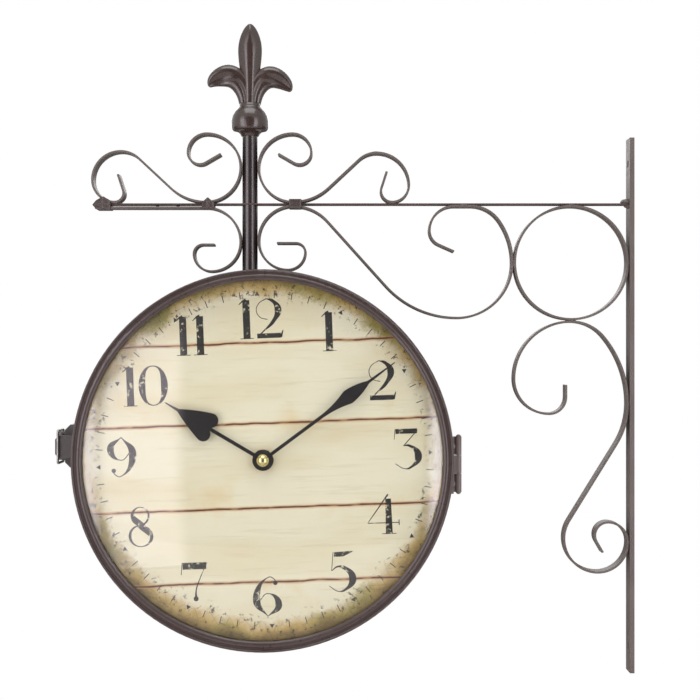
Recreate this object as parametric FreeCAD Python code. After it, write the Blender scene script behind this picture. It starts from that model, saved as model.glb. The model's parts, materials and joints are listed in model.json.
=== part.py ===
import FreeCAD, Part
import math
import os

# Double-sided wall clock on a scroll bracket, in millimetres.
# +Z is up, +X points at the wall, the front dial faces -Y.
# The origin is on the wall face, midway between the two wall screws.

# Flat strip that the bracket is bent from
strip_thick = 1.5
strip_wide = 12.0
weld_gap = 0.1

# Wall bar
bar_thick = 3.0
bar_wide = 15.0
bar_long = 348.0
screw_hole_r = 2.5
screw_hole_inset = 16.5

# Arm, measured from the middle of the wall bar
arm_rise = 131.0
arm_thick = 1.0
arm_wide = 10.0
arm_end_inset = 2.4
gusset_leg = 5.0

# Ring in the corner, and the bends that all scrolls share
ring_r = 36.8
post_bend_r = 22.5

# Upper scrolls, one each side of the post
upper_slope = 43.0
upper_foot_r = 34.0
upper_crest_r = 17.0
right_shoulder_r = 21.0
right_drop_r = 11.0
left_shoulder_r = 18.5
left_drop_r = 14.5
right_eye_r = 7.2
left_eye_r = 5.8
upper_end_turn = 108.0
upper_end_tail = 11.0
upper_top_r = 22.0
upper_eye_r = 12.3
upper_eye_inner_r = 7.7
upper_eye_inner_turn = 120.0
upper_eye_tail = 11.5

# Long scroll under the arm, wall side
long_slope = 48.0
long_foot_r = 30.0
long_belly_r = 62.5
long_shoulder_r = 36.0
long_drop_r = 22.4
long_drop_split = 35.0
long_flat = 11.0
long_eye_r = 16.0
long_eye_inner_r = 10.0
long_eye_inner_turn = 66.0
long_eye_tail = 11.0

# Curls below the arm, one each side of the post
under_belly_r = 19.0
under_eye_r = 11.4
under_eye_inner_r = 6.0
near_eye_tail = 12.5
far_eye_tail = 7.5
under_gap = 1.1

# Lower scroll, on the wall bar below the ring
hook_shoulder_r = 37.3
hook_belly_r = 22.8
hook_eye_r = 11.0
hook_tail = 8.0
shoulder_split = 50.0
wall_bend_r = 68.0
run_bend_r = 50.0
lower_slope = 31.7
bowl_r = 22.0
bowl_rise_r = 19.6
wall_eye_r = 13.0
wall_eye_inner_r = 8.5
wall_eye_inner_turn = 120.0
wall_eye_tail = 8.0

# Crimped collars, small pegs and weld spots
collar_long = 7.6
collar_end_share = 0.45
collar_sheet = 0.9
collar_room = 0.1
peg_r = 1.0
peg_from_end = 40.2
peg_pitch = 13.4
peg_count = 2
weld_spot_r = 2.0
weld_spot_high = 0.7

# Post, in an upper and a lower tube
post_r = 5.0
post_bore_r = 3.5
post_top_rise = 44.0
post_plug_long = 16.0
post_bolt_r = 2.0
post_bolt_head_r = 3.6
post_bolt_head_high = 2.8
post_bolt_grip = 12.0
post_pad_half = 7.0
post_pad_drop = 3.0
fit_gap = 0.05

# Finial
finial_collar_r = 6.0
finial_collar_high = 3.5
finial_spigot_long = 12.0
cup_r = 12.0
cup_high = 16.7
centre_petal_high = 53.4
centre_petal_half = 7.6
side_petal_reach = 27.2
side_petal_high = 27.0
side_petal_half = 7.4
petal_thick_share = 0.6
centre_petal_shares = (
    (-0.06, 0.6), (0.1, 0.58), (0.28, 0.7), (0.46, 0.86), (0.56, 0.94), (0.67, 1.0),
    (0.78, 0.93), (0.885, 0.71), (0.95, 0.44), (0.985, 0.22), (1.0, 0.08),
)
side_petal_shares = (
    (0.125, -0.045, 5, 0.49), (0.165, 0.195, 12, 0.51), (0.28, 0.505, 35, 0.73), (0.507, 0.715, 62, 0.97),
    (0.75, 0.737, 97, 0.96), (0.926, 0.62, 130, 0.66), (0.985, 0.49, 150, 0.38), (0.996, 0.43, 155, 0.1),
)
cup_shares = ((0.88, 0.0), (0.97, 0.14), (1.0, 0.42), (0.87, 0.8), (0.56, 1.0))

# Case
case_clear = 3.2
case_from_post = 10.1
shell_r = 119.0
shell_wall = 1.0
seam_from_middle = 10.0
seam_gap = 0.6
bezel_proud = 2.0
bezel_back = 2.0
bezel_skirt = 8.0
bezel_lip = 5.0
bezel_bead = 1.6
bezel_groove = 1.3
bezel_groove_deep = 1.0
bezel_lip_edge = 0.6
rim_station = 38.0
ledge_wide = 5.0
ledge_thick = 2.0
edge_room = 0.2
dial_thick = 0.8
dial_to_glass = 8.0
glass_thick = 2.0
glass_rise = 14.0
seal_wide = 2.8

# Hinge at the wall side of the case
hinge_reach = 6.5
hinge_drop = 4.0
hinge_tall = 36.0
knuckle_r = 2.0
knuckle_gap = 0.3
knuckle_count = 3
hinge_pin_r = 0.9
hinge_pin_head_r = 1.7
hinge_pin_head_high = 1.4
leaf_thick = 2.6
leaf_wide = 13.0
leaf_web = 1.5
hinge_screw_r = 1.1
hinge_screw_head_r = 2.0
hinge_screw_head_high = 1.4
hinge_screw_pitch = 24.0
hinge_screw_long = 8.5

# Catch at the far side of the case
latch_rise = 7.7
latch_base_tall = 28.0
latch_base_top_tall = 21.0
latch_base_deep = 7.0
latch_base_taper = 3.5
latch_base_long = 18.0
latch_pivot_reach = 13.5
latch_pivot_back = 7.0
lever_half_thick = 2.3
lever_long = 17.0
lever_tall = 15.0
lever_end_flare = 1.7
lever_end_long = 4.0
lever_chamfer = 1.6
ear_thick = 1.5
ear_gap = 0.3
ear_r = 2.6
latch_pin_r = 1.0
bail_wire_r = 0.8
bail_crank = 5.0
bail_arm_gap = 0.4
bail_leg_in = 2.5
bail_bend_r = 1.8
keeper_wide = 14.6
keeper_chamfer = 2.5
keeper_long = 10.0
keeper_plate = 3.0
keeper_tab_thick = 1.5
keeper_tab_setback = 5.5
keeper_tab_over = 1.2
bail_to_keeper = 0.2

# Clock movement
housing_wall = 1.5
housing_back_room = 0.6
cover_thick = 1.2
bushing_r = 4.0
bushing_proud = 0.8
nut_flats_half = 6.0
nut_sides = 6
nut_high = 2.4
wheel_centres = 12.0
wheel_bay_room = 1.2
train_head_room = 5.1
wheel_thick = 1.2
pinion_thick = 2.0
hour_wheel_depth = 1.4
minute_wheel_depth = 6.4
arbor_r = 1.5
arbor_tip_r = 1.2
hour_pipe_r = 2.3
set_arbor_r = 1.2
set_knob_r = 5.0
set_knob_high = 3.2
set_knob_clear = 0.5
minute_pinion_teeth = 12
minute_wheel_teeth = 36
hour_pinion_teeth = 10
hour_wheel_teeth = 40
tooth_tip_share = 0.7
tooth_root_share = 1.05
tooth_foot_share = 0.5
tooth_head_share = 0.2
bay_wall = 1.0
bay_room = 0.2
pivot_hole_share = 0.5
battery_r = 7.0
battery_long = 49.2
battery_nub_r = 2.6
battery_nub_high = 1.3
contact_plate = 0.4
contact_half = 5.0
contact_spring_high = 1.5
contact_spring_r = 3.0
coil_r = 4.2
coil_long = 17.0
coil_flange = 1.0
coil_flange_proud = 0.6
coil_place_share = 0.755
board_thick = 1.2
board_wide = 9.0
board_long = 24.0
board_place_share = 0.755
board_boss_r = 1.6
board_boss_high = 1.5
board_boss_share = 0.3

# Hands
hand_thick = 0.6
hour_hand_long = 72.0
hour_hand_half = 9.5
hour_stem_half = 1.15
hour_hub_r = 6.75
hour_hand_clear = 0.4
minute_hand_long = 104.0
minute_hand_half = 4.7
minute_stem_half = 1.1
minute_hub_r = 6.2
hands_apart = 1.4
hand_tip_half = 0.3
cap_nut_r = 4.0
cap_nut_high = 3.8
hour_hand_turn = 300.5
minute_hand_turn = 53.4
hour_stem_share = 0.535
hour_hand_shares = ((1.0, 0.585, 0.62, 0.508), (0.1, 0.867, 0.58, 0.735))
minute_stem_share = 0.45
minute_hand_shares = ((1.0, 0.645, 0.46, 0.552), (0.2, 0.8, 0.72, 0.73))
cap_nut_rim_share = 0.3
cap_nut_bore_share = 0.6

# Cutting tools run past what they cut
overrun = 1.0
middle_share = 0.5
end_share = 1.0

# Whole turns and their parts, in degrees
turn_half = math.degrees(math.pi)
turn_quarter = turn_half / 2
full_turn = turn_half * 2

# Places worked out from the sizes above
half_strip = strip_thick / 2
half_wide = strip_wide / 2
arm_top = arm_rise + arm_thick / 2
arm_bottom = arm_rise - arm_thick / 2
ring_out_r = ring_r + half_strip
ring_x = -(bar_thick + weld_gap + ring_out_r)
ring_z = arm_bottom - weld_gap - ring_out_r


def sine(degrees):
    """Sine of an angle in degrees."""
    return math.sin(math.radians(degrees))


def cosine(degrees):
    """Cosine of an angle in degrees."""
    return math.cos(math.radians(degrees))


def slope_run(first_r, last_r, height, slope):
    """Straight length between two bends that together change the height by a given amount."""
    return (height - (first_r + last_r) * (1 - cosine(slope))) / sine(slope)


def slope_reach(first_r, last_r, straight, slope):
    """Length along the first heading of two bends and the straight between them."""
    return (first_r + last_r) * sine(slope) + straight * cosine(slope)


long_line = slope_run(long_foot_r, long_belly_r, long_shoulder_r + ring_r, long_slope)
long_reach = slope_reach(long_foot_r, long_belly_r, long_line, long_slope) + long_shoulder_r
bend_x = ring_x - ring_out_r - weld_gap - half_strip - long_reach
post_x = bend_x - post_bend_r - half_strip - weld_gap - post_r
right_line = slope_run(upper_foot_r, upper_crest_r, right_shoulder_r + right_drop_r, upper_slope)
right_reach = slope_reach(upper_foot_r, upper_crest_r, right_line, upper_slope) + right_shoulder_r
left_line = slope_run(upper_foot_r, upper_crest_r, left_shoulder_r + left_drop_r, upper_slope)
left_reach = slope_reach(upper_foot_r, upper_crest_r, left_line, upper_slope) + left_shoulder_r
far_bend_x = post_x - (bend_x - post_x)
arm_end_x = far_bend_x - left_reach - half_strip + arm_end_inset
long_rise_r = (ring_r - long_drop_r * (1 - sine(long_drop_split))) / sine(long_drop_split)
shoulder_r = (ring_r - wall_bend_r * (1 - sine(shoulder_split))) / sine(shoulder_split)
wall_line = slope_run(run_bend_r, bowl_r, bowl_r + bowl_rise_r, lower_slope)
post_top = arm_top + post_top_rise

case_x = post_x + case_from_post
curl_x = post_x + post_r + weld_gap + half_strip + under_belly_r
curl_z = arm_bottom - weld_gap - half_strip - post_bend_r
case_to_curl = shell_r + case_clear + half_strip + under_belly_r
case_z = curl_z - math.sqrt(case_to_curl ** 2 - (curl_x - case_x) ** 2)
seam_y = -seam_from_middle
half_seam = seam_gap / 2

bezel_r = shell_r + bezel_proud
lip_r = shell_r - bezel_lip
inner_r = shell_r - shell_wall
insert_r = inner_r - edge_room
glass_top = rim_station - bezel_back
glass_bottom = glass_top - glass_thick
dial_face = glass_bottom - dial_to_glass
dial_back = dial_face - dial_thick

housing_deep = housing_wall + (bay_room + battery_r) * 2 + housing_back_room
bay_long = contact_plate * 2 + contact_spring_high + battery_long + battery_nub_high + bay_room
half_housing = bay_long / 2 + housing_wall
housing_front = dial_back - housing_wall
housing_back = dial_back - housing_deep
battery_out = housing_front - bay_room - battery_r
coil_from_axis = bay_long / 2 * coil_place_share
board_from_axis = bay_long / 2 * board_place_share
set_z = case_z + wheel_centres
minute_module = wheel_centres * 2 / (minute_pinion_teeth + minute_wheel_teeth)
hour_module = wheel_centres * 2 / (hour_pinion_teeth + hour_wheel_teeth)
hour_wheel_tip_r = hour_module * (hour_wheel_teeth / 2 + tooth_tip_share)
minute_wheel_tip_r = minute_module * (minute_wheel_teeth / 2 + tooth_tip_share)
train_low = case_z - hour_wheel_tip_r - wheel_bay_room
train_high = set_z + minute_wheel_tip_r + train_head_room
train_middle = (train_low + train_high) / 2
bay_high = train_low - bay_wall
bay_low = bay_high - (bay_room + battery_r) * 2
hour_wheel_out = housing_front - hour_wheel_depth
minute_wheel_out = housing_front - minute_wheel_depth
bushing_top = dial_face + nut_high + bushing_proud
hour_hand_out = bushing_top + hour_hand_clear
minute_hand_out = hour_hand_out + hand_thick + hands_apart
cap_nut_out = minute_hand_out + hand_thick

hinge_x = case_x + shell_r + hinge_reach
hinge_z = case_z - hinge_drop
leaf_x = case_x + shell_r + leaf_thick
latch_z = case_z + latch_rise
latch_top_x = case_x - shell_r - latch_base_deep - latch_base_taper
pivot_x = case_x - shell_r - latch_pivot_reach
pivot_y = seam_y + half_seam + latch_pivot_back
crank_y = pivot_y + bail_crank
bail_side = lever_tall / 2 + ear_gap + ear_thick + bail_arm_gap + bail_wire_r
keeper_front_y = seam_y - half_seam - keeper_tab_setback - keeper_tab_thick
bail_bar_y = keeper_front_y - bail_to_keeper - bail_wire_r

x_axis = FreeCAD.Vector(1, 0, 0)
y_axis = FreeCAD.Vector(0, 1, 0)
z_axis = FreeCAD.Vector(0, 0, 1)


def point(x, y, z):
    """A place in the part's frame."""
    return FreeCAD.Vector(x, y, z)


def block(x0, x1, y0, y1, z0, z1):
    """Box between two corners."""
    return Part.makeBox(x1 - x0, y1 - y0, z1 - z0, point(x0, y0, z0))


def rod_x(y, z, r, x0, x1):
    """Round bar along X."""
    return Part.makeCylinder(r, x1 - x0, point(x0, y, z), x_axis)


def rod_y(x, z, r, y0, y1):
    """Round bar along Y."""
    return Part.makeCylinder(r, y1 - y0, point(x, y0, z), y_axis)


def rod_z(x, y, r, z0, z1):
    """Round bar along Z."""
    return Part.makeCylinder(r, z1 - z0, point(x, y, z0), z_axis)


def outline(steps, place):
    """Closed wire through steps; a step of four numbers is an arc: its end, then a place on the way."""
    edges = []
    last = place(*steps[-1][:2])
    for step in steps:
        end = place(*step[:2])
        if len(step) == 4:
            edges.append(Part.Arc(last, place(*step[2:]), end).toShape())
        else:
            edges.append(Part.LineSegment(last, end).toShape())
        last = end
    return Part.Wire(edges)


def slab(steps, y0, y1):
    """Flat plate with an outline in the XZ plane, between two depths."""
    face = Part.Face(outline(steps, lambda x, z: point(x, y0, z)))
    return face.extrude(point(0, y1 - y0, 0))


def lathe(steps):
    """Ring or disc turned about the case axis, from radius and distance out from the middle plane."""
    face = Part.Face(outline(steps, lambda r, out: point(case_x + r, -out, case_z)))
    return face.revolve(point(case_x, 0, case_z), y_axis, full_turn)


def spindle(steps, x):
    """Solid turned about an upright axis on the middle plane, from radius and height."""
    face = Part.Face(outline(steps, lambda r, z: point(x + r, 0, z)))
    return face.revolve(point(x, 0, 0), z_axis, full_turn)


def to_rear(shape):
    """The same piece for the rear dial: turned half round the upright through the case axis."""
    turned = shape.copy()
    turned.rotate(point(case_x, 0, case_z), z_axis, turn_half)
    return turned


def walk(x, z, heading, moves):
    """Follow straights (length) and bends (radius, turn, left positive); list each stretch."""
    stretches = []
    for move in moves:
        stretches.append((x, z, heading) + move)
        x, z = along(stretches[-1], end_share, 0)
        heading += move[1] if len(move) == 2 else 0
    return stretches


def along(stretch, share, left):
    """Place at a share of a stretch, moved sideways to the left."""
    x, z, heading, size = stretch[:4]
    if len(stretch) == 4:
        x += cosine(heading) * size * share - sine(heading) * left
        z += sine(heading) * size * share + cosine(heading) * left
        return x, z
    turn = stretch[4]
    side = math.copysign(1, turn)
    centre_x = x - sine(heading) * size * side
    centre_z = z + cosine(heading) * size * side
    reach = size - left * side
    now = heading + turn * share
    return centre_x + sine(now) * reach * side, centre_z - cosine(now) * reach * side


def backwards(stretches):
    """The same path walked from its far end."""
    result = []
    for stretch in reversed(stretches):
        x, z = along(stretch, end_share, 0)
        if len(stretch) == 4:
            result.append((x, z, stretch[2] + turn_half, stretch[3]))
        else:
            heading = stretch[2] + stretch[4] + turn_half
            result.append((x, z, heading, stretch[3], -stretch[4]))
    return result


def bent_strip(stretches):
    """Flat strip bent along a path, standing on edge across the middle plane."""
    left_side = [side_step(stretch, half_strip) for stretch in stretches]
    right_side = [side_step(stretch, half_strip) for stretch in backwards(stretches)]
    first = along(stretches[0], 0, half_strip)
    turn_back = along(backwards(stretches)[0], 0, half_strip)
    steps = left_side + [turn_back] + right_side + [first]
    return slab(steps, -half_wide, half_wide)


def side_step(stretch, left):
    """One step of a strip's edge: a straight, or an arc through its middle."""
    end = along(stretch, end_share, left)
    if len(stretch) == 4:
        return end
    return end + along(stretch, middle_share, left)


def mirrored(shape):
    """The same piece on the other side of the post."""
    return shape.mirror(point(post_x, 0, 0), x_axis)


def make_wall_bar():
    """Upright flat bar with a screw hole near each end."""
    half_long = bar_long / 2
    bar = block(-bar_thick, 0, -bar_wide / 2, bar_wide / 2, -half_long, half_long)
    for z in (screw_hole_inset - half_long, half_long - screw_hole_inset):
        bar = bar.cut(rod_x(0, z, screw_hole_r, -bar_thick - overrun, overrun))
    return bar


def make_arm():
    """Flat strip that stands out from the wall bar."""
    return block(arm_end_x, -bar_thick, -arm_wide / 2, arm_wide / 2, arm_bottom, arm_top)


def make_ring():
    """Closed hoop of strip in the corner of bar and arm."""
    hoop = rod_y(ring_x, ring_z, ring_out_r, -half_wide, half_wide)
    return hoop.cut(rod_y(ring_x, ring_z, ring_r - half_strip, -half_wide - overrun, half_wide + overrun))


def make_upper_scroll(line, shoulder_bend_r, drop_r, end_eye_r):
    """Scroll on top of the arm: an eye at the post, a rising run and an eye at its end."""
    z = arm_top + weld_gap + half_strip
    to_post = walk(bend_x, z, turn_half, [
        (post_bend_r, -turn_quarter),
        (upper_top_r, -turn_quarter),
        (upper_eye_r, -turn_quarter),
        (upper_eye_inner_r, -upper_eye_inner_turn),
        (upper_eye_tail,),
    ])
    to_end = walk(bend_x, z, 0, [
        (upper_foot_r, upper_slope),
        (line,),
        (upper_crest_r, -upper_slope),
        (shoulder_bend_r, -turn_quarter),
        (drop_r, -turn_quarter),
        (end_eye_r, -upper_end_turn),
        (upper_end_tail,),
    ])
    return bent_strip(backwards(to_post) + to_end)


def make_long_scroll():
    """S scroll under the arm, from the curl at the post to the eye beside the ring."""
    z = arm_bottom - weld_gap - half_strip
    to_post = walk(bend_x, z, turn_half, [
        (post_bend_r, turn_quarter),
        (under_belly_r, turn_quarter),
        (under_eye_r, turn_quarter),
        (under_eye_inner_r, turn_quarter),
        (near_eye_tail,),
    ])
    to_ring = walk(bend_x, z, 0, [
        (long_foot_r, -long_slope),
        (long_line,),
        (long_belly_r, long_slope),
        (long_shoulder_r, turn_quarter),
        (long_rise_r, long_drop_split),
        (long_drop_r, turn_quarter - long_drop_split),
        (long_flat,),
        (long_eye_r, turn_quarter),
        (long_eye_inner_r, long_eye_inner_turn),
        (long_eye_tail,),
    ])
    return bent_strip(backwards(to_post) + to_ring)


def make_lower_left_scroll():
    """Strip that runs under the arm and curls beside the post."""
    z = arm_bottom - under_gap - half_strip
    return bent_strip(walk(arm_end_x, z, 0, [
        (far_bend_x - arm_end_x,),
        (post_bend_r, -turn_quarter),
        (under_belly_r, -turn_quarter),
        (under_eye_r, -turn_quarter),
        (under_eye_inner_r, -turn_quarter),
        (far_eye_tail,),
    ]))


def make_lower_scroll():
    """S scroll below the ring: a hook towards the clock and a bowl with an eye on the wall bar."""
    z = ring_z - ring_out_r - weld_gap - half_strip
    to_hook = walk(ring_x, z, turn_half, [
        (hook_shoulder_r, turn_quarter),
        (hook_belly_r, turn_quarter),
        (hook_eye_r, turn_quarter),
        (hook_tail,),
    ])
    to_wall = walk(ring_x, z, 0, [
        (shoulder_r, -shoulder_split),
        (wall_bend_r, shoulder_split - turn_quarter),
        (run_bend_r, -lower_slope),
        (wall_line,),
        (bowl_r, lower_slope),
        (bowl_r, turn_quarter),
        (bowl_rise_r, turn_quarter),
        (wall_eye_r, turn_quarter),
        (wall_eye_inner_r, wall_eye_inner_turn),
        (wall_eye_tail,),
    ])
    return bent_strip(backwards(to_hook) + to_wall)


def collar(x0, x1, low, high):
    """Sheet band crimped round a bundle of strips."""
    y = half_wide + collar_room
    room = block(x0 - overrun, x1 + overrun, -y, y, low - collar_room, high + collar_room)
    y += collar_sheet
    around = collar_room + collar_sheet
    return block(x0, x1, -y, y, low - around, high + around).cut(room)


def make_collars():
    """Two bands beside the post and one at the arm's far end."""
    half_long = collar_long / 2
    bend_in_r = post_bend_r - half_strip
    sag = bend_in_r - math.sqrt(bend_in_r ** 2 - half_long ** 2)
    top = arm_top + weld_gap + strip_thick + sag
    near = arm_bottom - weld_gap - strip_thick - sag
    far = arm_bottom - under_gap - strip_thick - sag
    end = arm_bottom - under_gap - strip_thick
    end_long = left_drop_r * collar_end_share
    return Part.makeCompound([
        collar(bend_x - half_long, bend_x + half_long, near, top),
        collar(far_bend_x - half_long, far_bend_x + half_long, far, top),
        collar(arm_end_x, arm_end_x + end_long, end, arm_top),
    ])


def dome(place, direction, base_r, high):
    """Low dome with a flat round base."""
    ball_r = (base_r ** 2 + high ** 2) / (2 * high)
    sunk = ball_r - high
    centre = place - direction * sunk
    latitude = math.degrees(math.asin(sunk / ball_r))
    return Part.makeSphere(ball_r, centre, direction, latitude, turn_quarter, full_turn)


def weld_spot(x, z):
    """Pair of low domes of weld on the edges of two strips, front and back."""
    front = dome(point(x, -half_wide, z), -y_axis, weld_spot_r, weld_spot_high)
    back = dome(point(x, half_wide, z), y_axis, weld_spot_r, weld_spot_high)
    return [front, back]


def make_weld_beads(wall_bar):
    """Weld spots where strips meet, the gusset under the arm and the pegs over the lower strip."""
    right_end_x = bend_x + right_reach - right_drop_r
    left_end_x = far_bend_x - left_reach + left_drop_r
    long_top_x = ring_x - ring_out_r - long_rise_r * (1 - cosine(long_drop_split))
    long_top_x -= long_drop_r * cosine(long_drop_split) + long_flat / 2
    bowl_z = arm_bottom - wall_contact_drop()
    shoulder_z = ring_z - ring_out_r - shoulder_drop()
    places = [
        (ring_x, arm_bottom),
        (ring_x - ring_out_r, ring_z),
        (ring_x, ring_z - ring_out_r),
        (long_top_x, arm_bottom),
        (right_end_x, arm_top),
        (left_end_x, arm_top),
        (-bar_thick, ring_z),
        (-bar_thick, shoulder_z),
        (-bar_thick, bowl_z),
    ]
    pieces = []
    for x, z in places:
        pieces += [spot.cut(wall_bar) for spot in weld_spot(x, z)]
    foot = -bar_thick
    corner = [(foot, arm_bottom), (foot, arm_bottom - gusset_leg), (foot - gusset_leg, arm_bottom)]
    pieces.append(slab(corner, -half_wide, half_wide))
    for step in range(peg_count):
        x = arm_end_x + peg_from_end + step * peg_pitch
        pieces.append(rod_z(x, 0, peg_r, arm_bottom - under_gap, arm_bottom))
    return Part.makeCompound(pieces)


def shoulder_drop():
    """Fall of the lower scroll from the ring to where it first meets the wall bar."""
    first = shoulder_r * (1 - cosine(shoulder_split))
    second = wall_bend_r * cosine(shoulder_split)
    return weld_gap + half_strip + first + second


def wall_contact_drop():
    """Fall of the lower scroll from the arm to where its bowl meets the wall bar."""
    run = slope_reach(run_bend_r, bowl_r, wall_line, lower_slope)
    return weld_gap + ring_out_r * 2 + shoulder_drop() + run + bowl_r - bowl_rise_r


def make_upper_post():
    """Tube from the arm up to the finial."""
    tube = rod_z(post_x, 0, post_r, arm_top, post_top)
    return tube.cut(rod_z(post_x, 0, post_bore_r, arm_top - overrun, post_top + overrun))


def post_foot():
    """Lowest height that the post can have before its end is shaped to the case."""
    return case_z + shell_r * cosine(turn_quarter / 2)


def case_drum(radius):
    """Solid drum about the case axis, longer than the case is deep."""
    return rod_y(case_x, case_z, radius, -rim_station * 2, rim_station * 2)


def make_lower_post():
    """Tube from the arm down to the case, shaped to the drum and plugged for the bolt."""
    crown = case_z + math.sqrt(shell_r ** 2 - case_from_post ** 2)
    tube = rod_z(post_x, 0, post_r, post_foot(), arm_bottom)
    tube = tube.cut(case_drum(shell_r + fit_gap))
    tube = tube.cut(rod_z(post_x, 0, post_bore_r, crown + post_plug_long, arm_bottom + overrun))
    return tube.cut(rod_z(post_x, 0, post_bolt_r + fit_gap, post_foot(), arm_bottom + overrun))


def pad_floor():
    """Height of the flat pad that the post bolt bears on, inside the case."""
    widest = case_from_post + post_pad_half
    return case_z + math.sqrt(inner_r ** 2 - widest ** 2) - post_pad_drop


def make_post_bolt():
    """Bolt from inside the case up into the post."""
    seat = pad_floor()
    crown = case_z + math.sqrt(shell_r ** 2 - case_from_post ** 2)
    shank = rod_z(post_x, 0, post_bolt_r, seat, crown + post_bolt_grip)
    head = rod_z(post_x, 0, post_bolt_head_r, seat - post_bolt_head_high, seat)
    return shank.fuse(head).removeSplitter()


def petal(sections):
    """Petal lofted through oval sections: place, lean from upright, half width."""
    wires = []
    for x, z, lean, half in sections:
        oval = Part.Wire([Part.Ellipse(point(0, 0, 0), half, half * petal_thick_share).toShape()])
        oval.rotate(point(0, 0, 0), y_axis, lean)
        oval.translate(point(x, 0, z))
        wires.append(oval)
    return Part.makeLoft(wires, True, False)


def make_finial():
    """Cast three-petal finial on a cup, with a spigot that fits the post."""
    cup_bottom = post_top + finial_collar_high
    cup_top = cup_bottom + cup_high
    spigot_r = post_bore_r - fit_gap
    rounds = [(cup_r * out, cup_bottom + cup_high * up) for out, up in cup_shares]
    turned = spindle([
        (0, post_top - finial_spigot_long),
        (spigot_r, post_top - finial_spigot_long),
        (spigot_r, post_top),
        (finial_collar_r, post_top),
        (finial_collar_r, cup_bottom),
        rounds[0],
        rounds[2] + rounds[1],
        rounds[4] + rounds[3],
        (0, cup_top),
    ], post_x)
    centre = [(post_x, cup_top + centre_petal_high * up, 0, centre_petal_half * wide)
              for up, wide in centre_petal_shares]
    casting = turned.fuse(petal(centre))
    for side in (-1, 1):
        leaf = [(post_x + side * side_petal_reach * out, cup_top + side_petal_high * up, side * lean,
                 side_petal_half * wide) for out, up, lean, wide in side_petal_shares]
        casting = casting.fuse(petal(leaf))
    return casting.removeSplitter()


def make_shell(seam_out):
    """Half of the drum: a side wall with a ledge that carries the dial."""
    ledge_r = inner_r - ledge_wide
    ledge_foot = dial_back - ledge_thick
    return lathe([
        (inner_r, seam_out), (shell_r, seam_out), (shell_r, glass_top), (inner_r, glass_top),
        (inner_r, dial_back), (ledge_r, dial_back), (ledge_r, ledge_foot), (inner_r, ledge_foot),
    ])


def make_front_shell():
    """The half that swings on the hinge."""
    return hinge_holes(make_shell(seam_from_middle + half_seam), -1)


def make_rear_shell():
    """The half that hangs from the post, with a flat pad for the post bolt."""
    shell = hinge_holes(to_rear(make_shell(half_seam - seam_from_middle)), 1)
    pad = block(post_x - post_pad_half, post_x + post_pad_half, -post_pad_half, post_pad_half,
                pad_floor(), case_z + shell_r)
    shell = shell.fuse(pad.common(case_drum(shell_r - shell_wall / 2)))
    hole = rod_z(post_x, 0, post_bolt_r + fit_gap, pad_floor() - overrun, case_z + shell_r + overrun)
    return shell.cut(hole).removeSplitter()


def make_bezel():
    """Rolled rim: a skirt over the shell, an outer bead, a groove and a rounded inner band."""
    skirt_r = shell_r + fit_gap
    skirt_foot = rim_station - bezel_skirt
    half_bead = bezel_bead / 2
    groove_r = bezel_r - bezel_bead
    band_r = groove_r - bezel_groove
    groove_floor = rim_station - bezel_groove_deep
    return lathe([
        (lip_r, glass_top), (skirt_r, glass_top), (skirt_r, skirt_foot), (bezel_r, skirt_foot),
        (bezel_r, rim_station - half_bead),
        (groove_r, rim_station - half_bead, bezel_r - half_bead, rim_station),
        (groove_r, groove_floor), (band_r, groove_floor),
        (lip_r, glass_top + bezel_lip_edge, (band_r + lip_r) / 2, rim_station),
    ])


def make_glass():
    """Domed glass with a flat brim that the bezel holds."""
    dome_r = lip_r - edge_room
    ball_r = (dome_r ** 2 + glass_rise ** 2) / (2 * glass_rise)
    middle_r = dome_r / 2
    middle_rise = glass_rise - ball_r + math.sqrt(ball_r ** 2 - middle_r ** 2)
    return lathe([
        (0, glass_top + glass_rise),
        (dome_r, glass_top, middle_r, glass_top + middle_rise),
        (insert_r, glass_top), (insert_r, glass_bottom), (dome_r, glass_bottom),
        (0, glass_bottom + glass_rise, middle_r, glass_bottom + middle_rise),
    ])


def make_seal():
    """Spacer ring that holds the glass off the dial."""
    in_r = insert_r - seal_wide
    return lathe([(in_r, dial_face), (insert_r, dial_face), (insert_r, glass_bottom), (in_r, glass_bottom)])


def make_dial():
    """Printed disc with a hole for the movement's bushing."""
    disc = rod_y(case_x, case_z, insert_r, -dial_face, -dial_back)
    return disc.cut(rod_y(case_x, case_z, bushing_r + fit_gap, -dial_face - overrun, -dial_back + overrun))


def leaf_span(side):
    """Depths between which a hinge leaf lies: side 1 is the fixed leaf, -1 the moving one."""
    near = seam_y + side * half_seam
    return sorted((near, near + side * leaf_wide))


def hinge_screw_places(side):
    """Depth and heights of the two screws of a leaf."""
    y0, y1 = leaf_span(side)
    return [((y0 + y1) / 2, hinge_z + end * hinge_screw_pitch / 2) for end in (-1, 1)]


def hinge_holes(shape, side):
    """Cut the screw holes of a leaf."""
    for y, z in hinge_screw_places(side):
        shape = shape.cut(rod_x(y, z, hinge_screw_r + fit_gap, case_x, leaf_x + overrun))
    return shape


def hinge_leaf(side, spans):
    """Leaf with a seat shaped to the drum, and its knuckles."""
    y0, y1 = leaf_span(side)
    half_tall = hinge_tall / 2
    leaf = block(case_x, leaf_x, y0, y1, hinge_z - half_tall, hinge_z + half_tall)
    leaf = leaf.cut(case_drum(shell_r + fit_gap))
    near = seam_y + side * half_seam
    w0, w1 = sorted((near, near + side * leaf_web))
    for z0, z1 in spans:
        web = block(leaf_x - leaf_web, hinge_x, w0, w1, hinge_z + z0, hinge_z + z1)
        leaf = leaf.fuse(web).fuse(rod_z(hinge_x, seam_y, knuckle_r, hinge_z + z0, hinge_z + z1))
    bore = rod_z(hinge_x, seam_y, hinge_pin_r + fit_gap, hinge_z - hinge_tall, hinge_z + hinge_tall)
    return hinge_holes(leaf.cut(bore), side).removeSplitter()


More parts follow.
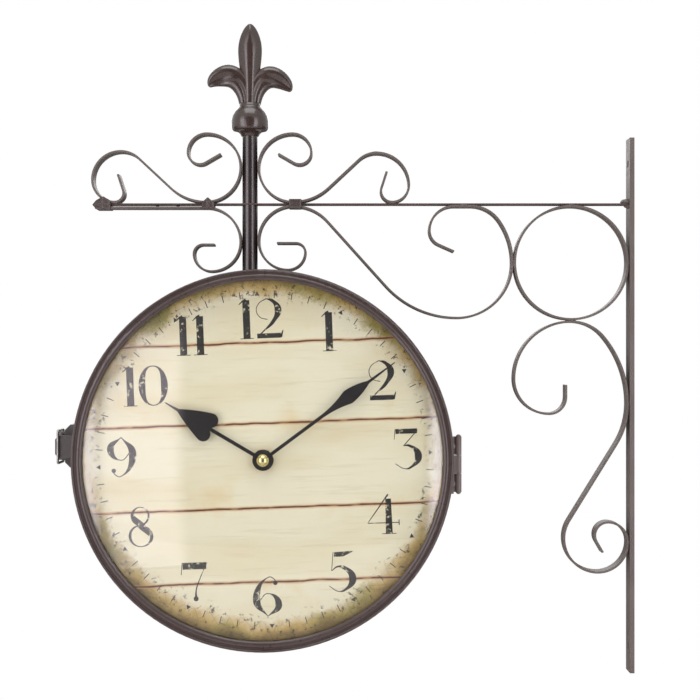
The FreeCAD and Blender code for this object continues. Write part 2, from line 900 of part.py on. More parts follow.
def make_hinge_fixed_leaf():
    """Leaf on the rear shell, with the two outer knuckles."""
    half_tall = hinge_tall / 2
    inner = (hinge_tall / knuckle_count + knuckle_gap) / 2
    return hinge_leaf(1, [(-half_tall, -inner), (inner, half_tall)])


def make_hinge_moving_leaf():
    """Leaf on the front shell, with the middle knuckle."""
    inner = (hinge_tall / knuckle_count - knuckle_gap) / 2
    return hinge_leaf(-1, [(-inner, inner)])


def make_hinge_pin():
    """Pin through the knuckles, headed at both ends."""
    half_tall = hinge_tall / 2
    low = hinge_z - half_tall
    high = hinge_z + half_tall
    pin = rod_z(hinge_x, seam_y, hinge_pin_r, low, high)
    pin = pin.fuse(dome(point(hinge_x, seam_y, high), z_axis, hinge_pin_head_r, hinge_pin_head_high))
    return pin.fuse(dome(point(hinge_x, seam_y, low), -z_axis, hinge_pin_head_r, hinge_pin_head_high))


def make_hinge_screws(side):
    """Two round-headed screws through a leaf and the shell."""
    screws = []
    for y, z in hinge_screw_places(side):
        shank = rod_x(y, z, hinge_screw_r, leaf_x - hinge_screw_long, leaf_x)
        head = dome(point(leaf_x, y, z), x_axis, hinge_screw_head_r, hinge_screw_head_high)
        screws.append(shank.fuse(head))
    return Part.makeCompound(screws)


def make_latch_base():
    """Tapered block on the rear shell with two ears for the lever's pin."""
    y0 = seam_y + half_seam
    half_tall = latch_base_tall / 2
    half_top = latch_base_top_tall / 2
    step_x = case_x - shell_r - latch_base_deep
    base = slab([
        (case_x, latch_z - half_tall), (step_x, latch_z - half_tall), (latch_top_x, latch_z - half_top),
        (latch_top_x, latch_z + half_top), (step_x, latch_z + half_tall), (case_x, latch_z + half_tall),
    ], y0, y0 + latch_base_long).cut(case_drum(shell_r + fit_gap))
    for side in (-1, 1):
        inner = side * (lever_tall / 2 + ear_gap)
        z0, z1 = sorted((latch_z + inner, latch_z + inner + side * ear_thick))
        ear = block(pivot_x, latch_top_x + ear_thick, pivot_y - ear_r, pivot_y + ear_r, z0, z1)
        base = base.fuse(ear).fuse(rod_z(pivot_x, pivot_y, ear_r, z0, z1))
    hole_r = latch_pin_r + fit_gap
    hole = rod_z(pivot_x, pivot_y, hole_r, latch_z - latch_base_tall, latch_z + latch_base_tall)
    return base.cut(hole).removeSplitter()


def make_latch_pin():
    """Pin that the lever turns on."""
    half_long = lever_tall / 2 + ear_gap + ear_thick
    return rod_z(pivot_x, pivot_y, latch_pin_r, latch_z - half_long, latch_z + half_long)


def make_latch_lever():
    """Toggle lever: round at the pin, chamfered, with a raised end for the finger."""
    half_tall = lever_tall / 2
    inner_x = pivot_x + lever_half_thick
    outer_x = pivot_x - lever_half_thick

    def profile(face_x):
        """Lever section with chamfered outer corners."""
        return [
            (inner_x, latch_z - half_tall), (inner_x, latch_z + half_tall),
            (face_x + lever_chamfer, latch_z + half_tall), (face_x, latch_z + half_tall - lever_chamfer),
            (face_x, latch_z - half_tall + lever_chamfer), (face_x + lever_chamfer, latch_z - half_tall),
        ]

    end_y = pivot_y + lever_long
    lever = slab(profile(outer_x), pivot_y, end_y)
    lever = lever.fuse(slab(profile(outer_x - lever_end_flare), end_y - lever_end_long, end_y))
    lever = lever.fuse(rod_z(pivot_x, pivot_y, lever_half_thick, latch_z - half_tall, latch_z + half_tall))
    pin_hole_r = latch_pin_r + fit_gap
    lever = lever.cut(rod_z(pivot_x, pivot_y, pin_hole_r, latch_z - lever_tall, latch_z + lever_tall))
    hole_r = bail_wire_r + fit_gap
    hole_end = half_tall - bail_leg_in - fit_gap
    lever = lever.cut(rod_z(pivot_x, crank_y, hole_r, latch_z + hole_end, latch_z + lever_tall))
    lever = lever.cut(rod_z(pivot_x, crank_y, hole_r, latch_z - lever_tall, latch_z - hole_end))
    return lever.removeSplitter()


def bent_wire(x, stretches, wire_r):
    """Round wire bent along a path in an upright plane across the arm; the path starts upwards."""
    edges = []
    for stretch in stretches:
        start, middle, end = [point(x, *along(stretch, share, 0)) for share in (0, middle_share, end_share)]
        if len(stretch) == 4:
            edges.append(Part.LineSegment(start, end).toShape())
        else:
            edges.append(Part.Arc(start, middle, end).toShape())
    begin = point(x, *along(stretches[0], 0, 0))
    section = Part.Wire([Part.Circle(begin, z_axis, wire_r).toShape()])
    return Part.Wire(edges).makePipeShell([section], True, False)


def make_latch_bail():
    """Wire loop from the lever round the keeper."""
    leg_end = lever_tall / 2 - bail_leg_in
    leg = bail_side - leg_end - bail_bend_r
    side = crank_y - bail_bar_y - bail_bend_r * 2
    corner = (bail_bend_r, turn_quarter)
    return bent_wire(pivot_x, walk(crank_y, latch_z + leg_end, turn_quarter, [
        (leg,), corner, (side,), corner, ((bail_side - bail_bend_r) * 2,), corner, (side,), corner, (leg,),
    ]), bail_wire_r)


def make_latch_keeper():
    """Block on the front shell with the upright tab that the wire pulls on."""
    half = keeper_wide / 2
    y1 = seam_y - half_seam
    plate_x = case_x - shell_r - keeper_plate
    tab_x = pivot_x - bail_wire_r - keeper_tab_over
    plate = block(plate_x, case_x, y1 - keeper_long, y1, latch_z - half, latch_z + half)
    plate = plate.cut(case_drum(shell_r + fit_gap))
    foot_x = plate_x + keeper_tab_thick
    shoulder_x = tab_x + keeper_chamfer
    tab = slab([
        (foot_x, latch_z - half), (shoulder_x, latch_z - half), (tab_x, latch_z - half + keeper_chamfer),
        (tab_x, latch_z + half - keeper_chamfer), (shoulder_x, latch_z + half), (foot_x, latch_z + half),
    ], keeper_front_y, keeper_front_y + keeper_tab_thick)
    return plate.fuse(tab).removeSplitter()


def gear(z, teeth, module, first_tooth, out0, out1):
    """Toothed wheel about an axis above the case centre, between two distances out."""
    pitch_r = teeth * module / 2
    tip_r = pitch_r + module * tooth_tip_share
    root_r = pitch_r - module * tooth_root_share
    step = full_turn / teeth
    foot = step * tooth_foot_share / 2
    head = step * tooth_head_share / 2
    steps = []
    for tooth in range(teeth):
        middle = first_tooth + tooth * step
        for angle, r in ((-foot, root_r), (-head, tip_r), (head, tip_r), (foot, root_r)):
            steps.append((case_x + r * cosine(middle + angle), z + r * sine(middle + angle)))
    return slab(steps, -out1, -out0)


def wheel_span(out, thick):
    """Distances out between which a wheel lies."""
    return out - thick / 2, out + thick / 2


def axial(z, r, out0, out1):
    """Round bar along the case axis direction, between two distances out."""
    return rod_y(case_x, z, r, -out1, -out0)


def train_block(x0, x1, out0, out1, z0, z1):
    """Box in the movement, between two distances out."""
    return block(x0, x1, -out1, -out0, z0, z1)


def make_movement_housing():
    """Moulded box with a gear room, a battery bay and the threaded bushing."""
    room_half = half_housing - housing_wall
    housing = train_block(case_x - half_housing, case_x + half_housing, housing_back, dial_back,
                          bay_low - housing_wall, train_high + housing_wall)
    for low, high in ((bay_low, bay_high), (train_low, train_high)):
        room = train_block(case_x - room_half, case_x + room_half,
                           housing_back - overrun, housing_front, low, high)
        housing = housing.cut(room)
    housing = housing.fuse(axial(case_z, bushing_r, housing_front, bushing_top))
    for z in board_boss_heights():
        boss = rod_y(case_x + board_from_axis, z, board_boss_r,
                     -housing_front, board_boss_high - housing_front)
        housing = housing.fuse(boss)
    housing = housing.cut(axial(case_z, hour_pipe_r + fit_gap, housing_back, bushing_top + overrun))
    pivot_hole = housing_front + housing_wall * pivot_hole_share
    return housing.cut(axial(set_z, set_arbor_r + fit_gap, housing_back, pivot_hole)).removeSplitter()


def board_boss_heights():
    """Heights of the two bosses under the circuit board."""
    return [train_middle + side * board_long * board_boss_share for side in (-1, 1)]


def make_movement_cover():
    """Plate over the gear room, with holes for the two arbors."""
    room_half = half_housing - housing_wall - bay_room
    cover = train_block(case_x - room_half, case_x + room_half, housing_back, housing_back + cover_thick,
                        train_low + bay_room, train_high - bay_room)
    past = housing_back + cover_thick + overrun
    cover = cover.cut(axial(case_z, arbor_tip_r + fit_gap, housing_back - overrun, past))
    return cover.cut(axial(set_z, set_arbor_r + fit_gap, housing_back - overrun, past))


def make_mounting_nut():
    """Six-sided nut that holds the movement to the dial."""
    corner_r = nut_flats_half / cosine(turn_half / nut_sides)
    steps = []
    for corner in range(nut_sides):
        angle = corner * full_turn / nut_sides
        steps.append((case_x + corner_r * cosine(angle), case_z + corner_r * sine(angle)))
    nut = slab(steps, -dial_face - nut_high, -dial_face)
    return nut.cut(axial(case_z, bushing_r + fit_gap, dial_face - overrun, dial_face + nut_high + overrun))


def make_minute_arbor():
    """Arbor that carries the minute hand, with its pinion."""
    tip_end = cap_nut_out + cap_nut_high * cap_nut_bore_share
    low, high = wheel_span(minute_wheel_out, pinion_thick)
    arbor = axial(case_z, arbor_r, low, minute_hand_out)
    arbor = arbor.fuse(axial(case_z, arbor_tip_r, housing_back, tip_end))
    pinion = gear(case_z, minute_pinion_teeth, minute_module, turn_quarter, low, high)
    return arbor.fuse(pinion).removeSplitter()


def make_hour_wheel():
    """Wheel on a pipe that carries the hour hand."""
    low, high = wheel_span(hour_wheel_out, wheel_thick)
    wheel = gear(case_z, hour_wheel_teeth, hour_module, turn_quarter, low, high)
    wheel = wheel.fuse(axial(case_z, hour_pipe_r, low, hour_hand_out + hand_thick))
    return wheel.cut(axial(case_z, arbor_r + fit_gap, low - overrun, minute_hand_out)).removeSplitter()


def make_set_arbor():
    """Arbor with the minute wheel, the hour pinion and the setting knob."""
    gap_angle = full_turn - turn_quarter
    knob_top = housing_back - set_knob_clear
    front_end = housing_front + housing_wall * pivot_hole_share - fit_gap
    arbor = axial(set_z, set_arbor_r, knob_top, front_end)
    low, high = wheel_span(minute_wheel_out, wheel_thick)
    phase = gap_angle + turn_half / minute_wheel_teeth
    arbor = arbor.fuse(gear(set_z, minute_wheel_teeth, minute_module, phase, low, high))
    low, high = wheel_span(hour_wheel_out, pinion_thick)
    phase = gap_angle + turn_half / hour_pinion_teeth
    arbor = arbor.fuse(gear(set_z, hour_pinion_teeth, hour_module, phase, low, high))
    knob = axial(set_z, set_knob_r, knob_top - set_knob_high, knob_top)
    return arbor.fuse(knob).removeSplitter()


def make_drive_coil():
    """Wound coil between two square flanges."""
    x = case_x - coil_from_axis
    half = coil_r + coil_flange_proud
    out = housing_front - half
    half_long = coil_long / 2
    coil = rod_z(x, -out, coil_r, train_middle - half_long, train_middle + half_long)
    for side in (-1, 1):
        z0, z1 = sorted((train_middle + side * half_long, train_middle + side * (half_long + coil_flange)))
        coil = coil.fuse(train_block(x - half, x + half, out - half, housing_front, z0, z1))
    return coil


def make_circuit_board():
    """Small board on the housing's bosses."""
    x = case_x + board_from_axis
    out = housing_front - board_boss_high
    half = board_wide / 2
    half_long = board_long / 2
    low = train_middle - half_long
    return train_block(x - half, x + half, out - board_thick, out, low, low + board_long)


def make_battery():
    """Round cell with its contact nub."""
    z = bay_low + bay_room + battery_r
    x0 = case_x - bay_long / 2 + contact_plate + contact_spring_high
    x1 = x0 + battery_long
    cell = rod_x(-battery_out, z, battery_r, x0, x1)
    return cell.fuse(rod_x(-battery_out, z, battery_nub_r, x1, x1 + battery_nub_high))


def make_battery_contacts():
    """Plates at both ends of the bay, one with a spring cone."""
    z = bay_low + bay_room + battery_r
    x0 = case_x - bay_long / 2
    x1 = case_x + bay_long / 2
    out0 = battery_out - contact_half
    out1 = battery_out + contact_half
    minus = train_block(x0, x0 + contact_plate, out0, out1, z - contact_half, z + contact_half)
    cone = Part.makeCone(contact_half, contact_spring_r, contact_spring_high,
                         point(x0 + contact_plate, -battery_out, z), x_axis)
    plus = train_block(x1 - contact_plate, x1, out0, out1, z - contact_half, z + contact_half)
    return Part.makeCompound([minus.fuse(cone), plus])


def hand(length, half, stem_half, stem_share, shares, hub_r, bore_r, out, turn):
    """Flat hand: a stem, a blade given by shares of its width and length, a tip and a round hub."""
    stem_x = case_x + stem_half
    steps = [(case_x, case_z), (stem_x, case_z), (stem_x, case_z + length * stem_share)]
    for end_wide, end_up, way_wide, way_up in shares:
        steps.append((case_x + half * end_wide, case_z + length * end_up,
                      case_x + half * way_wide, case_z + length * way_up))
    steps += [(case_x + hand_tip_half, case_z + length), (case_x, case_z + length)]
    blade = slab(steps, -out - hand_thick, -out)
    blade = blade.fuse(blade.mirror(point(case_x, 0, 0), x_axis))
    blade = blade.fuse(axial(case_z, hub_r, out, out + hand_thick))
    blade = blade.cut(axial(case_z, bore_r, out - overrun, out + hand_thick + overrun)).removeSplitter()
    blade.rotate(point(case_x, 0, case_z), y_axis, turn)
    return blade


def make_hour_hand():
    """Spade hour hand on the hour pipe."""
    return hand(hour_hand_long, hour_hand_half, hour_stem_half, hour_stem_share, hour_hand_shares,
                hour_hub_r, hour_pipe_r + fit_gap, hour_hand_out, hour_hand_turn)


def make_minute_hand():
    """Lance minute hand on the arbor's shoulder."""
    return hand(minute_hand_long, minute_hand_half, minute_stem_half, minute_stem_share, minute_hand_shares,
                minute_hub_r, arbor_tip_r + fit_gap, minute_hand_out, minute_hand_turn)


def make_cap_nut():
    """Domed nut over the arbor's tip."""
    rim = cap_nut_out + cap_nut_high * cap_nut_rim_share
    nut = axial(case_z, cap_nut_r, cap_nut_out, rim)
    nut = nut.fuse(dome(point(case_x, -rim, case_z), -y_axis, cap_nut_r, cap_nut_out + cap_nut_high - rim))
    bore_end = cap_nut_out + cap_nut_high * cap_nut_bore_share + fit_gap
    return nut.cut(axial(case_z, arbor_tip_r + fit_gap, cap_nut_out - overrun, bore_end))


def bracket_pieces():
    """Everything that is welded or bolted into the bracket."""
    wall_bar = make_wall_bar()
    right_scroll = make_upper_scroll(right_line, right_shoulder_r, right_drop_r, right_eye_r)
    left_scroll = make_upper_scroll(left_line, left_shoulder_r, left_drop_r, left_eye_r)
    return {
        "wall_bar": wall_bar,
        "arm": make_arm(),
        "ring": make_ring(),
        "upper_right_scroll": right_scroll,
        "upper_left_scroll": mirrored(left_scroll),
        "long_scroll": make_long_scroll(),
        "lower_left_scroll": make_lower_left_scroll(),
        "lower_scroll": make_lower_scroll(),
        "collars": make_collars(),
        "weld_beads": make_weld_beads(wall_bar),
        "upper_post": make_upper_post(),
        "lower_post": make_lower_post(),
        "finial": make_finial(),
        "post_bolt": make_post_bolt(),
    }


def case_pieces():
    """The two shells, the hinge and the catch."""
    return {
        "front_shell": make_front_shell(),
        "rear_shell": make_rear_shell(),
        "hinge_fixed_leaf": make_hinge_fixed_leaf(),
        "hinge_moving_leaf": make_hinge_moving_leaf(),
        "hinge_pin": make_hinge_pin(),
        "hinge_fixed_screws": make_hinge_screws(1),
        "hinge_moving_screws": make_hinge_screws(-1),
        "latch_base": make_latch_base(),
        "latch_pin": make_latch_pin(),
        "latch_lever": make_latch_lever(),
        "latch_bail": make_latch_bail(),
        "latch_keeper": make_latch_keeper(),
    }


def face_pieces():
    """What each of the two clock faces has, at the front."""
    return {
        "bezel": make_bezel(),
        "glass": make_glass(),
        "glass_seal": make_seal(),
        "dial": make_dial(),
        "movement_housing": make_movement_housing(),
        "movement_cover": make_movement_cover(),
        "mounting_nut": make_mounting_nut(),
        "minute_arbor": make_minute_arbor(),
        "hour_wheel": make_hour_wheel(),
        "set_arbor": make_set_arbor(),
        "drive_coil": make_drive_coil(),
        "circuit_board": make_circuit_board(),
        "battery": make_battery(),
        "battery_contacts": make_battery_contacts(),
        "hour_hand": make_hour_hand(),
        "minute_hand": make_minute_hand(),
        "cap_nut": make_cap_nut(),
    }


def main():
    """Build every piece and write one file for each."""
    pieces = bracket_pieces()
    pieces.update(case_pieces())
    for name, shape in face_pieces().items():
        pieces["front_" + name] = shape
        pieces["rear_" + name] = to_rear(shape)
    os.makedirs("parts", exist_ok=True)
    for name, shape in pieces.items():
        shape.exportStep("parts/" + name + ".step")


main()
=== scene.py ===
"""Double-sided wall clock on a scroll bracket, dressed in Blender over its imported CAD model."""
import json
import logging
import math
import random
from dataclasses import dataclass
from enum import Enum
from typing import Any, Iterable, Sequence

import bmesh
import bpy
from mathutils import Matrix, Vector, noise

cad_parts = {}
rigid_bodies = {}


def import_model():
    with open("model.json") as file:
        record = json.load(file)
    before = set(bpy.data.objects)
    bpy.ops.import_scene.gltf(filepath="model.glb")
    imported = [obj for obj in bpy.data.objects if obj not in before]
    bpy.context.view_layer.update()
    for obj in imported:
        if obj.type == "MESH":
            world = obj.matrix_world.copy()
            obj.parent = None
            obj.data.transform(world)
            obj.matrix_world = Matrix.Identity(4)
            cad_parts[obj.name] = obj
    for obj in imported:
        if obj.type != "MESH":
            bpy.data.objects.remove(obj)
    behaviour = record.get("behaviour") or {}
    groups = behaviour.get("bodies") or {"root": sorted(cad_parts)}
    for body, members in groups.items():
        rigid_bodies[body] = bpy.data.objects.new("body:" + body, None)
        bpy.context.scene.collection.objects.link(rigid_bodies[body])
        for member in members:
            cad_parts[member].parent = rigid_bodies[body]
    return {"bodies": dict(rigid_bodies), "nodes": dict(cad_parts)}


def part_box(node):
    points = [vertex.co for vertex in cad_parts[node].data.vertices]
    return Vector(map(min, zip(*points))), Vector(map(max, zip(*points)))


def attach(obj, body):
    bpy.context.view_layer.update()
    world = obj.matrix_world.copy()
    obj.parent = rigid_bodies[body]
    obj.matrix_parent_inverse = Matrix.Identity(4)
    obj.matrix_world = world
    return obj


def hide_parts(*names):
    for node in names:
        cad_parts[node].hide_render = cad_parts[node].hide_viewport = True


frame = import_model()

MM = 0.001
LOG = logging.getLogger("wall_clock")
Mesh, Vert = bmesh.types.BMesh, bmesh.types.BMVert
Tree, Socket, Piece = bpy.types.NodeTree, bpy.types.NodeSocket, bpy.types.Object
Pair, Triple = tuple[float, float], tuple[float, float, float]
Span = tuple[float, float, float, float]

# Inputs of a Mix node that mixes colours
FACTOR, UNDER, OVER = 0, 6, 7

ROOT_BODY = "bracket_and_rear_case"
DOOR_BODY = "front_door"


class Side(Enum):
    """The two faces of the clock, by the way their dials look along Y."""

    FRONT = -1
    REAR = 1

    @property
    def word(self) -> str:
        """First word of the names of this side's nodes."""
        return self.name.lower()

    @property
    def case_body(self) -> str:
        """Body that carries this side's case half."""
        return DOOR_BODY if self is Side.FRONT else ROOT_BODY


# ---------------------------------------------------------------- helpers


def linear(code: str) -> tuple[float, float, float, float]:
    """Turn an sRGB hex colour into linear light.

    Args:
        code: Six hex digits after a hash sign.

    Returns:
        Red, green, blue and an alpha of one.
    """
    shares = [int(code[i:i + 2], 16) / 255 for i in (1, 3, 5)]
    red, green, blue = (c / 12.92 if c <= 0.04045 else ((c + 0.055) / 1.055) ** 2.4 for c in shares)
    return red, green, blue, 1.0


def add(tree: Tree, kind: str, inputs: dict[Any, Any] | None = None, out: str = "",
        **settings: Any) -> Socket | None:
    """Add a node with its settings, and link or set its inputs.

    Args:
        tree: Node tree that gets the node.
        kind: Blender's name of the node type, after ShaderNode.
        inputs: Sockets to link from, or constants, by input name or number.
        out: Name of the output that is wanted, if it isn't the first one in use.
        **settings: Properties of the node.

    Returns:
        The output, or none where the node has no output.
    """
    node = tree.nodes.new(f"ShaderNode{kind}")
    for name, value in settings.items():
        setattr(node, name, value)
    for key, value in (inputs or {}).items():
        if isinstance(value, Socket):
            tree.links.new(value, node.inputs[key])
        else:
            node.inputs[key].default_value = value
    return node.outputs[out] if out else next((port for port in node.outputs if port.enabled), None)


def per_mm(size: float) -> float:
    """Texture scale on metres for a pattern of this size in millimetres."""
    return 1.0 / (size * MM)


def merged_copy(node: str) -> Mesh:
    """Copy a CAD node's loose triangles into one joined mesh with flat faces whole.

    Args:
        node: Name of the CAD node.

    Returns:
        A bmesh in the frame's place.
    """
    bm = bmesh.new()
    bm.from_mesh(frame["nodes"][node].data)
    bmesh.ops.remove_doubles(bm, verts=bm.verts, dist=2e-6)
    bmesh.ops.dissolve_limit(bm, angle_limit=math.radians(0.3), verts=bm.verts, edges=bm.edges)
    return bm


def stand(name: str, data: bpy.types.ID) -> Piece:
    """Put a new object in the scene.

    Args:
        name: Name of the object.
        data: Its mesh, curve, lamp or camera.

    Returns:
        The object.
    """
    thing = bpy.data.objects.new(name, data)
    bpy.context.scene.collection.objects.link(thing)
    return thing


def place_piece(bm: Mesh, name: str, body: str, finish: "Finish",
                nodes: Iterable[str] = (), crease: float = 32.0) -> Piece:
    """Make a finished bmesh an object of the scene that rides on its body.

    Args:
        bm: The mesh, in the frame's place; it is freed.
        name: Name of the piece.
        body: Body that it rides on.
        finish: Finish that it wears.
        nodes: CAD nodes that it stands for.
        crease: Angle in degrees past which an edge stays sharp.

    Returns:
        The object.
    """
    mesh = bpy.data.meshes.new(name)
    bm.to_mesh(mesh)
    bm.free()
    for layer in ("custom_normal", "UVMap"):
        if layer in mesh.attributes:
            mesh.attributes.remove(mesh.attributes[layer])
    mesh.materials.clear()
    mesh.materials.append(finish.material())
    mesh.polygons.foreach_set("material_index", [0] * len(mesh.polygons))
    mesh.shade_smooth()
    mesh.set_sharp_from_angle(angle=math.radians(crease))
    piece = stand(name, mesh)
    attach(piece, body)
    if nodes:
        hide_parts(*nodes)
    LOG.info("piece %s on %s, %s", name, body, finish.name)
    return piece


def softened(node: str, name: str, body: str, finish: "Finish", edge: float) -> Piece:
    """Replace a CAD node by a copy whose sharp edges are rounded over.

    Args:
        node: CAD node to copy and replace.
        name: Name of the new piece.
        body: Body that it rides on.
        finish: Finish that it wears.
        edge: Width of the rounding in millimetres.

    Returns:
        The object.
    """
    piece = place_piece(merged_copy(node), name, body, finish, [node])
    rounding = piece.modifiers.new("edge rounding", "BEVEL")
    rounding.width = edge * MM
    rounding.segments = 2
    rounding.limit_method = "ANGLE"
    rounding.angle_limit = math.radians(32)
    rounding.harden_normals = True
    return piece


def dress(nodes: Iterable[str], finish: "Finish") -> None:
    """Give CAD nodes whose shape is right their finish.

    Args:
        nodes: Names of the nodes.
        finish: Finish that they wear.
    """
    for name in nodes:
        frame["nodes"][name].material_slots[0].material = finish.material()
        LOG.info("node %s, %s", name, finish.name)


def loft(bm: Mesh, rings: Sequence[Sequence[Vert]]) -> None:
    """Bridge closed rings of vertices one after another and close both ends.

    Args:
        bm: Mesh that holds the rings.
        rings: Vertices of each ring, in order round it.
    """
    loops = [[bm.edges.get(pair) for pair in zip(ring, [*ring[1:], ring[0]])] for ring in rings]
    for before, after in zip(loops, loops[1:]):
        bmesh.ops.bridge_loops(bm, edges=before + after)
    for end in (loops[0], loops[-1]):
        bmesh.ops.contextual_create(bm, geom=end)


def turned(bm: Mesh, profile: Sequence[Pair], axis: Vector, base: Vector, out: Vector,
           steps: int) -> list[Vert]:
    """Spin a profile about an axis.

    Args:
        bm: Mesh that gets the turned shape.
        profile: Radius and height pairs in millimetres; a radius of zero closes the shape.
        axis: Direction of the turning axis.
        base: Point of the axis at height zero.
        out: Direction that radii are drawn along.
        steps: Number of steps in the full turn.

    Returns:
        Vertices of the turned shape.
    """
    before = set(bm.verts)
    verts = [bm.verts.new(base + out * r * MM + axis * h * MM) for r, h in profile]
    edges = [bm.edges.new(pair) for pair in zip(verts, verts[1:])]
    bmesh.ops.spin(bm, geom=verts + edges, cent=base, axis=axis, angle=math.tau, steps=steps, use_merge=True)
    made = [v for v in bm.verts if v not in before]
    bmesh.ops.remove_doubles(bm, verts=made, dist=1e-7)
    made = [v for v in bm.verts if v not in before]
    faces = list({f for v in made for f in v.link_faces})
    bmesh.ops.recalc_face_normals(bm, faces=faces)
    return made


def subdivided(piece: Piece, levels: int) -> None:
    """Round a piece over with a subdivision surface.

    Args:
        piece: Piece to round.
        levels: Level in view and in render.
    """
    rounding = piece.modifiers.new("rounding", "SUBSURF")
    rounding.levels = rounding.render_levels = levels


# ---------------------------------------------------------------- finishes


@dataclass(frozen=True)
class Finish:
    """A surface finish that becomes one material."""

    name: str

    def material(self) -> bpy.types.Material:
        """Build the finish's material the first time it is asked for.

        Returns:
            The material.
        """
        made = bpy.data.materials.get(self.name)
        if made is None:
            made = bpy.data.materials.new(self.name)
            made.use_nodes = True
            made.node_tree.nodes.clear()
            add(made.node_tree, "OutputMaterial", {"Surface": self.surface(made.node_tree)})
        return made

    def surface(self, tree: Tree) -> Socket:
        """Build the shader; each finish has its own."""
        raise NotImplementedError


@dataclass(frozen=True)
class StovedPaint(Finish):
    """Satin enamel stoved on iron: a soft sheen over a faint orange peel, rubbed paler here and there."""

    body: str
    warm: str
    rubbed: str
    gloss_rough: float
    peel_mm: float = 4.0
    peel_deep: float = 0.12
    cloud_mm: float = 26.0
    rub_mm: float = 2.4
    rub_share: float = 0.35
    lacquer: float = 0.0

    def surface(self, tree: Tree) -> Socket:
        """Cloudy body colour, rubbed specks and a fine peel.

        Args:
            tree: Node tree of the material.

        Returns:
            The shader socket.
        """
        place = add(tree, "TexCoord", out="Object")
        cloud = add(tree, "TexNoise", {"Vector": place, "Scale": per_mm(self.cloud_mm), "Detail": 4.0})
        cloudy = add(tree, "MapRange", {"Value": cloud, "From Min": 0.35, "From Max": 0.65})
        base = add(tree, "Mix", {FACTOR: cloudy, UNDER: linear(self.body), OVER: linear(self.warm)},
                   data_type="RGBA")
        rub = add(tree, "TexNoise", {"Vector": place, "Scale": per_mm(self.rub_mm), "Detail": 8.0,
                                     "Roughness": 0.7})
        rubbed = add(tree, "MapRange", {"Value": rub, "From Min": 0.56, "From Max": 0.74,
                                        "To Max": self.rub_share})
        colour = add(tree, "Mix", {FACTOR: rubbed, UNDER: base, OVER: linear(self.rubbed)}, data_type="RGBA")
        rough = add(tree, "MapRange", {"Value": rub, "From Min": 0.3, "From Max": 0.7,
                                       "To Min": self.gloss_rough - 0.06, "To Max": self.gloss_rough + 0.1})
        peel = add(tree, "TexNoise", {"Vector": place, "Scale": per_mm(self.peel_mm), "Detail": 3.0})
        bump = add(tree, "Bump", {"Height": peel, "Strength": self.peel_deep, "Distance": 0.4 * MM})
        return add(tree, "BsdfPrincipled", {"Base Color": colour, "Roughness": rough, "Normal": bump,
                                            "IOR": 1.5, "Coat Weight": self.lacquer, "Coat Roughness": 0.14})


@dataclass(frozen=True)
class BareMetal(Finish):
    """Plated or polished metal: coloured reflections, dulled in patches by handling."""

    colour: str
    dull: str
    rough: float
    patch_mm: float = 3.0

    def surface(self, tree: Tree) -> Socket:
        """Metal with patchy tarnish.

        Args:
            tree: Node tree of the material.

        Returns:
            The shader socket.
        """
        place = add(tree, "TexCoord", out="Object")
        patch = add(tree, "TexNoise", {"Vector": place, "Scale": per_mm(self.patch_mm), "Detail": 6.0,
                                       "Roughness": 0.65})
        share = add(tree, "MapRange", {"Value": patch, "From Min": 0.42, "From Max": 0.72})
        tint = add(tree, "Mix", {FACTOR: share, UNDER: linear(self.colour), OVER: linear(self.dull)},
                   data_type="RGBA")
        rough = add(tree, "MapRange", {"Value": share, "To Min": self.rough, "To Max": self.rough + 0.22})
        return add(tree, "BsdfPrincipled", {"Base Color": tint, "Metallic": 1.0, "Roughness": rough})


@dataclass(frozen=True)
class MouldedPlastic(Finish):
    """Moulded plastic: one body colour with a spark-eroded grain that breaks the gloss."""

    colour: str
    scuff: str
    rough: float
    grain_mm: float = 0.7
    scuff_mm: float = 9.0
    ior: float = 1.53

    def surface(self, tree: Tree) -> Socket:
        """Grained body with faint scuffs.

        Args:
            tree: Node tree of the material.

        Returns:
            The shader socket.
        """
        place = add(tree, "TexCoord", out="Object")
        scuff = add(tree, "TexNoise", {"Vector": place, "Scale": per_mm(self.scuff_mm), "Detail": 7.0,
                                       "Roughness": 0.7})
        share = add(tree, "MapRange", {"Value": scuff, "From Min": 0.5, "From Max": 0.8, "To Max": 0.5})
        colour = add(tree, "Mix", {FACTOR: share, UNDER: linear(self.colour), OVER: linear(self.scuff)},
                     data_type="RGBA")
        rough = add(tree, "MapRange", {"Value": scuff, "To Min": self.rough - 0.1, "To Max": self.rough + 0.1})
        grain = add(tree, "TexNoise", {"Vector": place, "Scale": per_mm(self.grain_mm), "Detail": 2.0})
        bump = add(tree, "Bump", {"Height": grain, "Strength": 0.25, "Distance": 0.05 * MM})
        return add(tree, "BsdfPrincipled", {"Base Color": colour, "Roughness": rough, "Normal": bump,
                                            "IOR": self.ior})


@dataclass(frozen=True)
class ClockGlass(Finish):
    """Slumped soda-lime glass: clear, hard reflections, and it lets lamp light through to the dial."""

    tint: str

    def surface(self, tree: Tree) -> Socket:
        """Clear glass that is open to shadow rays.

        Args:
            tree: Node tree of the material.

        Returns:
            The shader socket.
        """
        glass = add(tree, "BsdfPrincipled", {"Base Color": linear(self.tint), "Roughness": 0.0, "IOR": 1.5,
                                             "Transmission Weight": 1.0})
        clear = add(tree, "BsdfTransparent", {"Color": linear(self.tint)})
        shadow = add(tree, "LightPath", out="Is Shadow Ray")
        return add(tree, "MixShader", {0: shadow, 1: glass, 2: clear})


